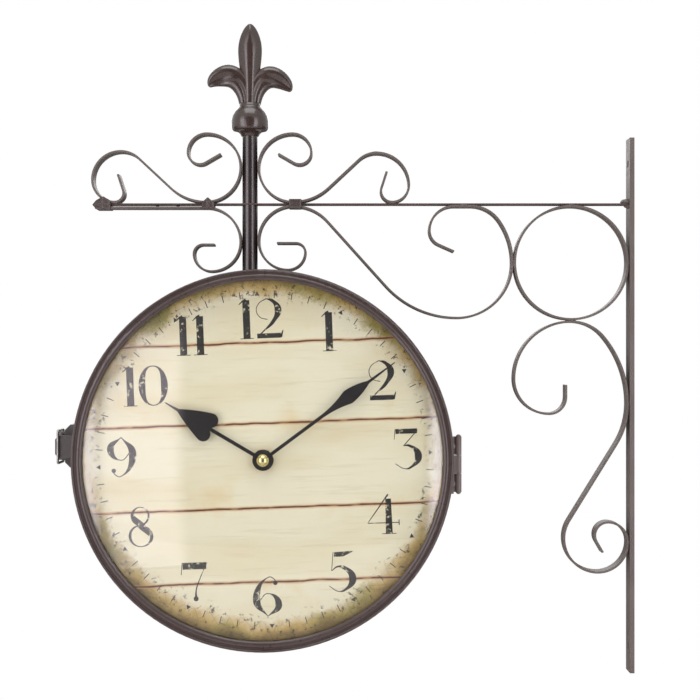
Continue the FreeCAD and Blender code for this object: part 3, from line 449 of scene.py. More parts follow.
@dataclass(frozen=True)
class WoundWire(Finish):
    """Enamelled copper wire wound on a bobbin: fine bright ridges side by side, too fine to show at
    their real 0.1 mm, so they are drawn at half a millimetre; the grooves between them are painted darker, as
    painted shade."""

    # Darker copper painted into the grooves between the turns, as painted shade
    colour: str
    groove: str
    pitch_mm: float = 0.5

    def surface(self, tree: Tree) -> Socket:
        """Ridges across the bobbin's axis, with painted shade in the grooves between them.

        Args:
            tree: Node tree of the material.

        Returns:
            The shader socket.
        """
        place = add(tree, "TexCoord", out="Object")
        # A wave's period is a twentieth of pi over its scale
        wave = add(tree, "TexWave", {"Vector": place, "Scale": per_mm(self.pitch_mm) * math.pi / 10,
                                     "Distortion": 0.4, "Detail": 1.0}, out="Fac", bands_direction="X")
        # Painted shade: the copper is mixed darker in the grooves between the ridges
        colour = add(tree, "Mix", {FACTOR: wave, UNDER: linear(self.groove), OVER: linear(self.colour)},
                     data_type="RGBA")
        bump = add(tree, "Bump", {"Height": wave, "Strength": 0.6, "Distance": 0.15 * MM})
        return add(tree, "BsdfPrincipled", {"Base Color": colour, "Metallic": 1.0, "Roughness": 0.3,
                                            "Normal": bump})


@dataclass(frozen=True)
class EtchedBoard(Finish):
    """Etched glass-fibre laminate: dull green lacquer with paler copper tracks under it."""

    lacquer: str
    track: str
    track_mm: float = 2.6

    def surface(self, tree: Tree) -> Socket:
        """Square-cornered tracks under lacquer.

        Args:
            tree: Node tree of the material.

        Returns:
            The shader socket.
        """
        place = add(tree, "TexCoord", out="Object")
        cell = add(tree, "TexVoronoi", {"Vector": place, "Scale": per_mm(self.track_mm)},
                   distance="CHEBYCHEV", feature="F1")
        line = add(tree, "MapRange", {"Value": cell, "From Min": 0.3, "From Max": 0.36, "To Min": 1.0,
                                      "To Max": 0.0})
        colour = add(tree, "Mix", {FACTOR: line, UNDER: linear(self.lacquer), OVER: linear(self.track)},
                     data_type="RGBA")
        bump = add(tree, "Bump", {"Height": line, "Strength": 0.3, "Distance": 0.05 * MM})
        return add(tree, "BsdfPrincipled", {"Base Color": colour, "Roughness": 0.35, "Normal": bump})


@dataclass(frozen=True)
class CellSleeve(Finish):
    """Plain printed steel sleeve of a dry cell: satin lacquer with a bare plated band at each end."""

    sleeve: str
    band: str
    middle_mm: float
    half_mm: float
    band_mm: float = 4.0
    band_edge_mm: float = 0.1
    scuff_mm: float = 2.0

    def surface(self, tree: Tree) -> Socket:
        """Lacquer between two plated bands across the cell's length.

        Args:
            tree: Node tree of the material.

        Returns:
            The shader socket.
        """
        place = add(tree, "TexCoord", out="Object")
        centred = add(tree, "Mapping", {"Vector": place, "Location": (-self.middle_mm, 0.0, 0.0),
                                        "Scale": (1 / MM, 1 / MM, 1 / MM)})
        across = add(tree, "SeparateXYZ", {0: centred}, "X")
        reach = add(tree, "Math", {0: across}, operation="ABSOLUTE")
        bare = add(tree, "MapRange", {"Value": reach, "From Min": self.half_mm - self.band_mm,
                                      "From Max": self.half_mm - self.band_mm + self.band_edge_mm})
        scuff = add(tree, "TexNoise", {"Vector": place, "Scale": per_mm(self.scuff_mm), "Detail": 6.0})
        colour = add(tree, "Mix", {FACTOR: bare, UNDER: linear(self.sleeve), OVER: linear(self.band)},
                     data_type="RGBA")
        rough = add(tree, "MapRange", {"Value": scuff, "To Min": 0.22, "To Max": 0.5})
        return add(tree, "BsdfPrincipled", {"Base Color": colour, "Metallic": bare, "Roughness": rough})


# Bent strip: grey-brown satin, hardly rubbed, so that its curves read as soft bands of light
STRIP_PAINT = StovedPaint("satin umber enamel on wrought strip", "#716964", "#675e59", "#8d8580", 0.42,
                          peel_deep=0.06, rub_mm=6.0, rub_share=0.1)
# The arm is seen edge-on, as a thin red-brown line
ARM_PAINT = StovedPaint("satin red-brown enamel on thin strip", "#5f4c49", "#564340", "#7d6f6a", 0.42,
                        peel_deep=0.06, rub_mm=5.0, rub_share=0.1)
# Folded bands are darker than the strips that they hold
COLLAR_PAINT = StovedPaint("satin dark umber enamel on crimped sheet", "#504642", "#463a36", "#746a65", 0.4,
                           peel_deep=0.06, rub_share=0.2)
# Gloss over nearly black brown, so that the tube shows long bright lines
POST_PAINT = StovedPaint("gloss umber enamel on tube", "#352c2c", "#2d2424", "#534a48", 0.22, peel_deep=0.06,
                         rub_share=0.15, lacquer=0.6)
# The same gloss over the slightly uneven skin of a sand casting
CAST_PAINT = StovedPaint("gloss umber enamel on cast iron", "#43352f", "#3a2a26", "#63564f", 0.24, peel_mm=6.0,
                         peel_deep=0.15, rub_share=0.15, lacquer=0.75)
# Smooth rolled sheet: a bronze-brown sheen that follows the beads of the rim
CASE_PAINT = StovedPaint("satin bronze-brown enamel on sheet steel", "#4e423f", "#473936", "#756a66", 0.3,
                         peel_deep=0.05, rub_share=0.15, lacquer=0.3)
# Hinge enamel painted paler than the case, as a painted highlight, with rubbed specks
PALE_HINGE_PAINTED_HIGHLIGHT = StovedPaint("satin grey-brown enamel on hinge", "#877d7a", "#776864", "#a39b98", 0.36,
                          peel_deep=0.05)
CATCH_PAINT = StovedPaint("worn grey enamel on pressed steel", "#5a5654", "#4f4947", "#8d8783", 0.4)
# Dull black that hides its own relief
HAND_PAINT = StovedPaint("black lacquer on stamped sheet", "#1b1718", "#171314", "#332e2e", 0.4, peel_deep=0.03,
                         rub_share=0.1)
# Plating mirrors softly, and is duller in patches
ZINC = BareMetal("zinc-plated steel", "#b9b8b4", "#8f8e8b", 0.3)
# This copy of the brass is painted paler, as a painted highlight that makes the hub a bright spot; it is
# lacquered and sharply mirrored, and the bare one is deeper
PALE_BRASS_PAINTED_HIGHLIGHT = BareMetal("bright lacquered brass", "#f3e6ad", "#d9c47c", 0.1)
BRASS = BareMetal("polished brass", "#d9b95c", "#b08c3e", 0.14)
# Wheels look waxy and white, housings dull and black, and the seal has no gloss
ACETAL = MouldedPlastic("moulded white acetal", "#e9e7df", "#d2cfc4", 0.45)
BLACK_ABS = MouldedPlastic("moulded black ABS", "#1d1d1e", "#3b3b3c", 0.5)
FOAM_RUBBER = MouldedPlastic("dark foam rubber", "#2d2a28", "#403b38", 0.8, grain_mm=0.5, ior=1.52)
# The dome shows by its reflections alone
CLEAR_GLASS = ClockGlass("slumped clear glass", "#fbfdfb")
# Bright ridges, with painted shade darkening the grooves between them
COPPER_COIL = WoundWire("enamelled copper winding", "#c8763f", "#7a3d1c")
# Pale tracks shine through green lacquer
LAMINATE = EtchedBoard("etched glass-fibre laminate", "#2f5a3c", "#6f8a52")


# ---------------------------------------------------------------- bracket


@dataclass
class Bracket:
    """Wall bar, arm, bent strips and post."""

    strip_edge: float = 0.35
    bar_edge: float = 0.5
    arm_edge: float = 0.25
    strips: Sequence[str] = ("ring", "upper_right_scroll", "upper_left_scroll", "long_scroll",
                             "lower_left_scroll", "lower_scroll")

    def build(self) -> None:
        """Round the strips' edges over and paint everything."""
        for strip in self.strips:
            softened(strip, f"{strip}_strip", ROOT_BODY, STRIP_PAINT, self.strip_edge)
        softened("wall_bar", "wall_bar_flat", ROOT_BODY, STRIP_PAINT, self.bar_edge)
        softened("arm", "arm_strip", ROOT_BODY, ARM_PAINT, self.arm_edge)
        dress(["upper_post", "lower_post"], POST_PAINT)
        dress(["post_bolt"], ZINC)


@dataclass
class Finial:
    """Cast finial: a cup with three petals, ridged and grooved as a casting is."""

    post_x: float = -250.133
    post_top: float = 175.5
    spigot_long: float = 12.0
    spigot_r: float = 3.4
    collar_r: float = 6.0
    collar_high: float = 3.5
    cup_high: float = 16.7
    cup_steps: int = 64
    section_sides: int = 24
    depth_share: float = 0.68
    # How far the centre petal's faces fall away from the ridge down their middle
    keel: float = 0.62
    cup_profile: Sequence[Pair] = (
        (9.6, 0.0), (10.9, 0.3), (11.6, 1.2), (12.05, 3.6), (12.15, 6.4), (11.6, 9.6), (10.3, 12.4),
        (8.6, 14.6), (7.4, 15.7), (7.1, 16.4), (6.9, 17.6), (6.0, 18.4), (0.0, 18.4),
    )
    # Radius past the collar's, and height, of the flared foot under the cup
    foot_flare: Sequence[Pair] = ((-0.6, 0.0), (-0.2, 0.5), (0.4, 1.7), (1.8, 2.9))
    # Each station of a petal: place across and up, lean in degrees, half width; then where the hollow of its
    # faces lies, how wide and how deep it is, as shares of the half width and of the depth
    centre_stations: Sequence[tuple[float, ...]] = (
        (0.0, -3.0, 0.0, 4.8, 0.0, 0.2, 0.2), (0.0, 5.0, 0.0, 4.7, 0.0, 0.2, 0.2),
        (0.0, 15.0, 0.0, 5.8, 0.0, 0.2, 0.2), (0.0, 24.5, 0.0, 6.9, 0.0, 0.2, 0.2),
        (0.0, 30.0, 0.0, 7.6, 0.0, 0.25, 0.2), (0.0, 35.7, 0.0, 8.0, 0.0, 0.3, 0.2),
        (0.0, 40.0, 0.0, 7.7, 0.0, 0.4, 0.2), (0.0, 44.5, 0.0, 6.7, 0.0, 0.5, 0.12),
        (0.0, 48.0, 0.0, 5.3, 0.0, 0.5, 0.0), (0.0, 50.8, 0.0, 3.8, 0.0, 0.5, 0.0),
        (0.0, 52.8, 0.0, 2.0, 0.0, 0.5, 0.0), (0.0, 53.6, 0.0, 0.8, 0.0, 0.5, 0.0),
    )
    side_stations: Sequence[tuple[float, ...]] = (
        (3.0, -1.8, 5.0, 3.8, -0.3, 0.4, 0.35), (3.2, 2.5, 10.0, 4.1, -0.35, 0.4, 0.45),
        (4.1, 9.2, 26.0, 5.2, -0.4, 0.4, 0.55), (7.3, 16.2, 48.0, 7.0, -0.3, 0.5, 0.5),
        (11.4, 19.1, 65.0, 7.6, 0.1, 0.6, 0.55), (16.2, 20.0, 82.0, 7.8, 0.35, 0.75, 0.75),
        (21.8, 18.3, 105.0, 6.2, 0.35, 0.75, 0.75), (25.4, 15.1, 130.0, 4.0, 0.2, 0.7, 0.6),
        (26.4, 12.8, 150.0, 2.0, 0.0, 0.6, 0.3), (26.5, 11.7, 155.0, 0.8, 0.0, 0.6, 0.0),
    )
    # Which way each side petal goes, and how its end is bent up or down
    hands: Sequence[tuple[int, float]] = ((-1, 0.4), (1, -2.6))

    def ring(self, bm: Mesh, station: Sequence[float], keel: float) -> list[Vert]:
        """Draw one section of a petal, with both faces shaped alike.

        Args:
            bm: Mesh that gets the ring.
            station: Place, size and hollow of the section.
            keel: Fall of the faces from the middle to the rim, as a share of the depth.

        Returns:
            Vertices of the ring in order.
        """
        across, up, lean, half, at, wide, deep = station
        ring = bmesh.ops.create_circle(bm, segments=self.section_sides, radius=1.0)["verts"]
        ring.sort(key=lambda v: math.atan2(v.co.y, v.co.x))
        for vert in ring:
            vert.co.y *= 1.0 - keel * abs(vert.co.x) - deep * max(0.0, 1.0 - abs(vert.co.x - at) / wide)
        foot = self.post_top + self.collar_high + self.cup_high
        place = Matrix.Translation(Vector((self.post_x + across, 0.0, foot + up)) * MM)
        size = Matrix.Diagonal((half * MM, half * self.depth_share * MM, MM, 1.0))
        turn = Matrix.Rotation(math.radians(lean), 4, "Y")
        bmesh.ops.transform(bm, matrix=place @ turn @ size, verts=ring)
        return ring

    def build(self) -> None:
        """Make the casting and round it over."""
        bm = bmesh.new()
        loft(bm, [self.ring(bm, station, self.keel) for station in self.centre_stations])
        reach = self.side_stations[-1][0]
        for hand, bend in self.hands:
            bent = [(hand * x, up + bend * (x / reach) ** 2, hand * lean, half, hand * at, wide, deep)
                    for x, up, lean, half, at, wide, deep in self.side_stations]
            loft(bm, [self.ring(bm, station, 0.0) for station in bent])
        bmesh.ops.recalc_face_normals(bm, faces=bm.faces)
        petals = place_piece(bm, "finial_petals", ROOT_BODY, CAST_PAINT, ["finial"],
                             crease=180)
        subdivided(petals, 2)
        cup = bmesh.new()
        base = Vector((self.post_x, 0.0, self.post_top)) * MM
        profile = [(0.0, -self.spigot_long), (self.spigot_r, -self.spigot_long), (self.spigot_r, 0.0)]
        profile += [(self.collar_r + past, up) for past, up in self.foot_flare]
        profile += [(r, up + self.collar_high) for r, up in self.cup_profile]
        turned(cup, profile, Vector((0, 0, 1)), base, Vector((1, 0, 0)), self.cup_steps)
        place_piece(cup, "finial_cup", ROOT_BODY, CAST_PAINT, ["finial"], crease=50)


@dataclass
class Collars:
    """Three sheet bands crimped round the strips: a plain one, one with a peaked seam and an end cap."""

    half_deep: float = 7.0
    lip: float = 1.0
    lip_deep: float = 0.6
    fold_r: float = 0.22
    near: Span = (-224.4, -216.4, 128.2, 134.2)
    far: Span = (-281.2, -273.2, 127.9, 131.9)
    end: Span = (-349.8, -340.6, 127.4, 133.4)
    far_peak: float = 3.6
    cap_peak: float = 2.6
    cap_point: float = 2.6

    def band(self, bm: Mesh, span: Span, peak: float, point: float) -> None:
        """Make one band with a rolled lip round each face.

        Args:
            bm: Mesh that gets the band.
            span: Lowest and highest X, lowest and highest Z.
            peak: Rise of the seam along the top's middle.
            point: Reach of the far end's middle.
        """
        x0, x1, z0, z1 = span
        middle = Vector(((x0 + x1) / 2, 0.0, (z0 + z1) / 2)) * MM
        size = Matrix.Diagonal(((x1 - x0) * MM, self.half_deep * 2 * MM, (z1 - z0) * MM, 1.0))
        block = bmesh.ops.create_cube(bm, size=1.0, matrix=Matrix.Translation(middle) @ size)["verts"]
        for shift, normal, move in ((peak, (1, 0, 0), (0, 0, peak)), (point, (0, 0, 1), (-point, 0, 0))):
            if not shift:
                continue
            faces = list({f for v in block for f in v.link_faces})
            edges = list({e for v in block for e in v.link_edges})
            cut = bmesh.ops.bisect_plane(bm, geom=block + edges + faces, plane_co=middle, plane_no=normal)
            fresh = [v for v in cut["geom_cut"] if isinstance(v, Vert)]
            block += fresh
            way = Vector(move)
            ends = [v for v in fresh if (v.co - middle).dot(way) > 0]
            bmesh.ops.translate(bm, vec=way * MM, verts=ends)
        faces = [f for f in {f for v in block for f in v.link_faces} if abs(f.normal.x) < 0.8]
        faces.sort(key=lambda f: tuple(f.calc_center_median()))
        bmesh.ops.inset_individual(bm, faces=faces, thickness=self.lip * MM, depth=-self.lip_deep * MM,
                                   use_even_offset=True)

    def build(self) -> None:
        """Make the three bands as one piece."""
        bm = bmesh.new()
        self.band(bm, self.near, 0.0, 0.0)
        self.band(bm, self.far, self.far_peak, 0.0)
        self.band(bm, self.end, self.cap_peak, self.cap_point)
        bmesh.ops.bevel(bm, geom=list(bm.edges), offset=self.fold_r * MM, offset_type="OFFSET", segments=2,
                        profile=0.5, affect="EDGES", material=-1, clamp_overlap=True)
        bmesh.ops.recalc_face_normals(bm, faces=bm.faces)
        place_piece(bm, "crimped_collars", ROOT_BODY, COLLAR_PAINT, ["collars"], crease=60)


@dataclass
class WeldBeads:
    """Brazed lumps where strips touch, the fillets at the wall bar and the two small pegs."""

    half_strip: float = 6.0
    rough: float = 0.3
    rough_mm: float = 2.6
    levels: int = 4
    seed: int = 7
    # Least and most that a lump stands past the strip's edge, and its half thickness
    past_edge: Pair = (0.1, 0.5)
    half_thick: Pair = (1.1, 1.4)
    level: Sequence[Triple] = (
        (-40.65, 130.2, 3.4), (-110.6, 130.2, 4.2), (-157.4, 131.9, 4.0), (-338.0, 131.9, 4.0),
        (-40.65, 55.0, 3.4), (-167.7, 164.6, 4.4),
    )
    upright: Sequence[Triple] = (
        (-78.5, 92.85, 3.2), (-3.3, 92.85, 3.4), (-3.4, 1.0, 3.2), (-3.4, -89.2, 3.4),
    )
    # Place along X and Z, half length and half height of the two fillets under and over the arm's end
    fillets: Sequence[tuple[float, ...]] = ((-4.0, 132.6, 3.9, 2.2), (-3.3, 130.2, 2.4, 1.5))
    fillet_inset: float = 1.2
    pegs: Sequence[float] = (-310.6, -297.2)
    peg_span: Pair = (128.9, 131.0)
    peg_r: float = 1.05
    peg_sides: int = 20

    def lump(self, bm: Mesh, place: Pair, half: Triple) -> None:
        """Set one uneven lump.

        Args:
            bm: Mesh that gets the lump.
            place: Its X and Z in millimetres.
            half: Half sizes along X, Y and Z in millimetres.
        """
        centre = Vector((place[0], 0.0, place[1])) * MM
        size = Matrix.Diagonal((half[0] * MM, half[1] * MM, half[2] * MM, 1.0))
        ball = bmesh.ops.create_icosphere(bm, subdivisions=self.levels, radius=1.0,
                                          matrix=Matrix.Translation(centre) @ size)
        for vert in ball["verts"]:
            away = (vert.co - centre).normalized()
            bump = noise.noise(vert.co * per_mm(self.rough_mm) + Vector((self.seed, 0, 0)))
            vert.co += away * bump * self.rough * MM

    def build(self) -> None:
        """Set every lump, fillet and peg as one piece."""
        bm = bmesh.new()
        chance = random.Random(self.seed)
        for x, z, half in self.level:
            deep = self.half_strip + chance.uniform(*self.past_edge)
            self.lump(bm, (x, z), (half, deep, chance.uniform(*self.half_thick)))
        for x, z, half in self.upright:
            thick = chance.uniform(*self.half_thick)
            self.lump(bm, (x, z), (thick, self.half_strip + chance.uniform(*self.past_edge), half))
        for x, z, half_long, half_high in self.fillets:
            self.lump(bm, (x, z), (half_long, self.half_strip - self.fillet_inset, half_high))
        for x in self.pegs:
            middle = Vector((x, 0.0, sum(self.peg_span) / 2)) * MM
            bmesh.ops.create_cone(bm, cap_ends=True, segments=self.peg_sides, radius1=self.peg_r * MM,
                                  radius2=self.peg_r * MM, depth=(self.peg_span[1] - self.peg_span[0]) * MM,
                                  matrix=Matrix.Translation(middle))
        place_piece(bm, "brazed_joints", ROOT_BODY, STRIP_PAINT, ["weld_beads"], crease=60)


# ---------------------------------------------------------------- dials


@dataclass(frozen=True)
class AgedBoards(Finish):
    """Paper print of pale painted boards, varnished on thin fibreboard: cream paint with sandy grain, rusty
    seams between the boards, an edge gone brown, green and flecked with age, and a plain brown back."""

    side: Side
    centre: Pair
    tilt: float
    seams: Sequence[float] = (74.5, 23.3, -30.6, -77.8)
    seam_half: float = 0.8
    wander: float = 2.2
    face: float = 26.0
    print_skin: float = 0.2
    # Sizes of the patterns in millimetres
    waver_mm: float = 19.0
    chip_mm: float = 8.0
    ragged_mm: float = 15.0
    moss_mm: float = 42.0
    fleck_mm: float = 3.4
    crack_mm: float = 6.5
    fibre_mm: float = 2.2
    # Shift of the grain from board to board
    board_step: float = 7.3
    # How far the aged edge comes in where it is ragged, and towards the dial's top and foot; then the height,
    # as a share of the radius, where it is narrowest
    ragged_reach: float = 18.0
    end_reach: float = 6.0
    narrow_at: float = 0.25
    cream: str = "#ede7cd"
    # Each tone in the paint: its stretch, size in millimetres, detail and roughness, then its colour, the
    # noise that it starts and is full at, and its greatest share
    tones: Sequence[tuple[Any, ...]] = (
        ((0.3, 1.0, 1.0), 22.0, 5.0, 0.5, "#e3d7b2", 0.42, 0.7, 0.9),
        ((0.1, 1.0, 1.7), 3.2, 7.0, 0.65, "#c9bb8e", 0.54, 0.78, 0.55),
        ((1.0, 1.0, 1.0), 30.0, 6.0, 0.6, "#e0c589", 0.56, 0.74, 0.55),
    )

    def boards(self, tree: Tree) -> tuple[Socket, ...]:
        """Paint the boards in millimetres about the dial's middle.

        Args:
            tree: Node tree of the material.

        Returns:
            Sockets for colour, place in millimetres and the seams' share.
        """
        turn = Matrix.Rotation(math.radians(self.tilt), 3, "Y")
        angles = (0.0, math.radians(self.tilt), 0.0)
        if self.side is Side.REAR:
            turn = turn @ Matrix.Rotation(math.pi, 3, "Z")
            angles = (0.0, -math.radians(self.tilt), math.pi)
        shift = turn @ Vector((-self.centre[0], 0.0, -self.centre[1]))
        metres = add(tree, "TexCoord", out="Object")
        place = add(tree, "Mapping", {"Vector": metres, "Location": shift, "Rotation": angles,
                                      "Scale": (1 / MM, 1 / MM, 1 / MM)})
        height = add(tree, "SeparateXYZ", {0: place}, "Z")
        waver = add(tree, "TexNoise", {"Vector": place, "Scale": 1 / self.waver_mm, "Detail": 4.0})
        level = add(tree, "Math", {0: waver, 1: self.wander, 2: height}, operation="MULTIPLY_ADD")
        # Distance to the nearest seam, which starts far off, and a number that differs from board to board
        nearest: Any = 1000.0
        board: Any = 0.0
        for seam in self.seams:
            above = add(tree, "Math", {0: level, 1: seam + self.wander / 2}, operation="SUBTRACT")
            gap = add(tree, "Math", {0: above}, operation="ABSOLUTE")
            nearest = add(tree, "Math", {0: gap, 1: nearest}, operation="MINIMUM")
            over = add(tree, "Math", {0: above, 1: 0.0}, operation="GREATER_THAN")
            board = add(tree, "Math", {0: over, 1: self.board_step, 2: board}, operation="MULTIPLY_ADD")
        colour: Any = linear(self.cream)
        for stretch, size, detail, rough, tone, low, high, most in self.tones:
            grain = add(tree, "Mapping", {"Vector": place, "Scale": stretch})
            cloud = add(tree, "TexNoise", {"Vector": grain, "W": board, "Scale": 1 / size, "Detail": detail,
                                           "Roughness": rough}, noise_dimensions="4D")
            share = add(tree, "MapRange", {"Value": cloud, "From Min": low, "From Max": high, "To Max": most})
            colour = add(tree, "Mix", {FACTOR: share, UNDER: colour, OVER: linear(tone)}, data_type="RGBA")
        glow = add(tree, "MapRange", {"Value": nearest, "From Min": self.seam_half * 0.5,
                                      "From Max": self.seam_half * 2.4, "To Min": 0.7, "To Max": 0.0},
                   interpolation_type="SMOOTHSTEP")
        core = add(tree, "MapRange", {"Value": nearest, "From Min": self.seam_half * 0.35,
                                      "From Max": self.seam_half, "To Min": 1.0, "To Max": 0.0},
                   interpolation_type="SMOOTHSTEP")
        chip = add(tree, "TexNoise", {"Vector": place, "Scale": 1 / self.chip_mm, "Detail": 5.0})
        kept = add(tree, "MapRange", {"Value": chip, "From Min": 0.34, "From Max": 0.5, "To Min": 0.45})
        seam_share = add(tree, "Math", {0: core, 1: kept}, operation="MULTIPLY")
        colour = self.aged_edge(tree, colour, place)
        for share, tone in ((glow, "#cf9858"), (seam_share, "#5f3628")):
            colour = add(tree, "Mix", {FACTOR: share, UNDER: colour, OVER: linear(tone)}, data_type="RGBA")
        return colour, place, seam_share

    def aged_edge(self, tree: Tree, colour: Socket, place: Socket) -> Socket:
        """Lay the browned, flecked edge over the boards.

        Args:
            tree: Node tree of the material.
            colour: Colour of the boards.
            place: Place in millimetres.

        Returns:
            The aged colour.
        """
        flat = add(tree, "VectorMath", {0: place, 1: (1.0, 0.0, 1.0)}, operation="MULTIPLY")
        radius = add(tree, "VectorMath", {0: flat}, operation="LENGTH")
        height = add(tree, "SeparateXYZ", {0: place}, "Z")
        rise = add(tree, "Math", {0: height, 1: radius}, operation="DIVIDE")
        lowered = add(tree, "Math", {0: rise, 1: self.narrow_at}, operation="SUBTRACT")
        upness = add(tree, "Math", {0: lowered}, operation="ABSOLUTE")
        wide = add(tree, "Math", {0: upness, 1: self.end_reach, 2: radius}, operation="MULTIPLY_ADD")
        ragged = add(tree, "TexNoise", {"Vector": place, "Scale": 1 / self.ragged_mm, "Detail": 7.0,
                                        "Roughness": 0.65})
        reach = add(tree, "Math", {0: ragged, 1: self.ragged_reach, 2: wide}, operation="MULTIPLY_ADD")
        moss = add(tree, "TexNoise", {"Vector": place, "Scale": 1 / self.moss_mm, "Detail": 3.0})
        fleck = add(tree, "TexNoise", {"Vector": place, "Scale": 1 / self.fleck_mm, "Detail": 9.0,
                                       "Roughness": 0.7})
        crack = add(tree, "TexVoronoi", {"Vector": place, "Scale": 1 / self.crack_mm, "Randomness": 1.0},
                    feature="DISTANCE_TO_EDGE")
        always = (radius, 0.0, 1.0)
        # Each tone: its colour, the reach that it starts and is full at, its greatest share, and the pattern
        # that it keeps to, with the values where that is bare and full
        steps = (
            ("#c5a040", 116.5, 125.0, 0.85, always),
            ("#86862e", 116.0, 126.0, 0.8, (moss, 0.47, 0.6)),
            ("#6c5219", 122.5, 131.5, 0.85, always),
            ("#3d3424", 112.5, 117.0, 0.9, (fleck, 0.57, 0.63)),
            ("#5a4c30", 117.0, 122.0, 0.5, (crack, 0.03, 0.0)),
        )
        for tone, low, high, most, (texture, bare, full) in steps:
            zone = add(tree, "MapRange", {"Value": reach, "From Min": low, "From Max": high, "To Max": most},
                       interpolation_type="SMOOTHSTEP")
            part = add(tree, "MapRange", {"Value": texture, "From Min": bare, "From Max": full})
            share = add(tree, "Math", {0: zone, 1: part}, operation="MULTIPLY")
            colour = add(tree, "Mix", {FACTOR: share, UNDER: colour, OVER: linear(tone)}, data_type="RGBA")
        return colour

    def surface(self, tree: Tree) -> Socket:
        """Varnished print with the seams a little sunk, and plain brown fibre on the board's back and edge.

        Args:
            tree: Node tree of the material.

        Returns:
            The shader socket.
        """
        colour, place, seam = self.boards(tree)
        deep = add(tree, "SeparateXYZ", {0: place}, "Y")
        printed = add(tree, "Math", {0: deep, 1: self.print_skin - self.face}, operation="LESS_THAN")
        fibre = add(tree, "TexNoise", {"Vector": place, "Scale": 1 / self.fibre_mm, "Detail": 8.0,
                                       "Roughness": 0.75})
        brown = add(tree, "Mix", {FACTOR: fibre, UNDER: linear("#5f432b"), OVER: linear("#a88662")},
                    data_type="RGBA")
        colour = add(tree, "Mix", {FACTOR: printed, UNDER: brown, OVER: colour}, data_type="RGBA")
        sunk = add(tree, "Math", {0: seam, 1: printed}, operation="MULTIPLY")
        bump = add(tree, "Bump", {"Height": sunk, "Strength": 0.3, "Distance": 0.2 * MM}, invert=True)
        return add(tree, "BsdfPrincipled", {"Base Color": colour, "Roughness": 0.55, "IOR": 1.48,
                                            "Normal": bump})


@dataclass(frozen=True)
class WornInk(AgedBoards):
    """Black printing ink over the boards: matt, chipped in flakes so that the boards show through."""

    ink: str = "#1a181a"
    flake_mm: float = 3.4
    fade_mm: float = 26.0

    def surface(self, tree: Tree) -> Socket:
        """Ink that is worn through in places.

        Args:
            tree: Node tree of the material.

        Returns:
            The shader socket.
        """
        colour, place, _ = self.boards(tree)
        flake = add(tree, "TexNoise", {"Vector": place, "Scale": 1 / self.flake_mm, "Detail": 8.0,
                                       "Roughness": 0.72})
        held = add(tree, "MapRange", {"Value": flake, "From Min": 0.575, "From Max": 0.625, "To Min": 1.0,
                                      "To Max": 0.12})
        fade = add(tree, "TexNoise", {"Vector": place, "Scale": 1 / self.fade_mm, "Detail": 2.0})
        dark = add(tree, "MapRange", {"Value": fade, "From Min": 0.3, "From Max": 0.55, "To Min": 1.0,
                                      "To Max": 0.98})
        share = add(tree, "Math", {0: held, 1: dark}, operation="MULTIPLY")
        inked = add(tree, "Mix", {FACTOR: share, UNDER: colour, OVER: linear(self.ink)}, data_type="RGBA")
        return add(tree, "BsdfPrincipled", {"Base Color": inked, "Roughness": 0.6, "IOR": 1.48})


class Stroke(Enum):
    """How the pen goes through a stroke's points."""

    BEND = "open curve"
    LINE = "straight runs"
    LOOP = "closed curve"
    BALL = "round dot"


Pen = tuple[Stroke, Sequence[Triple]]

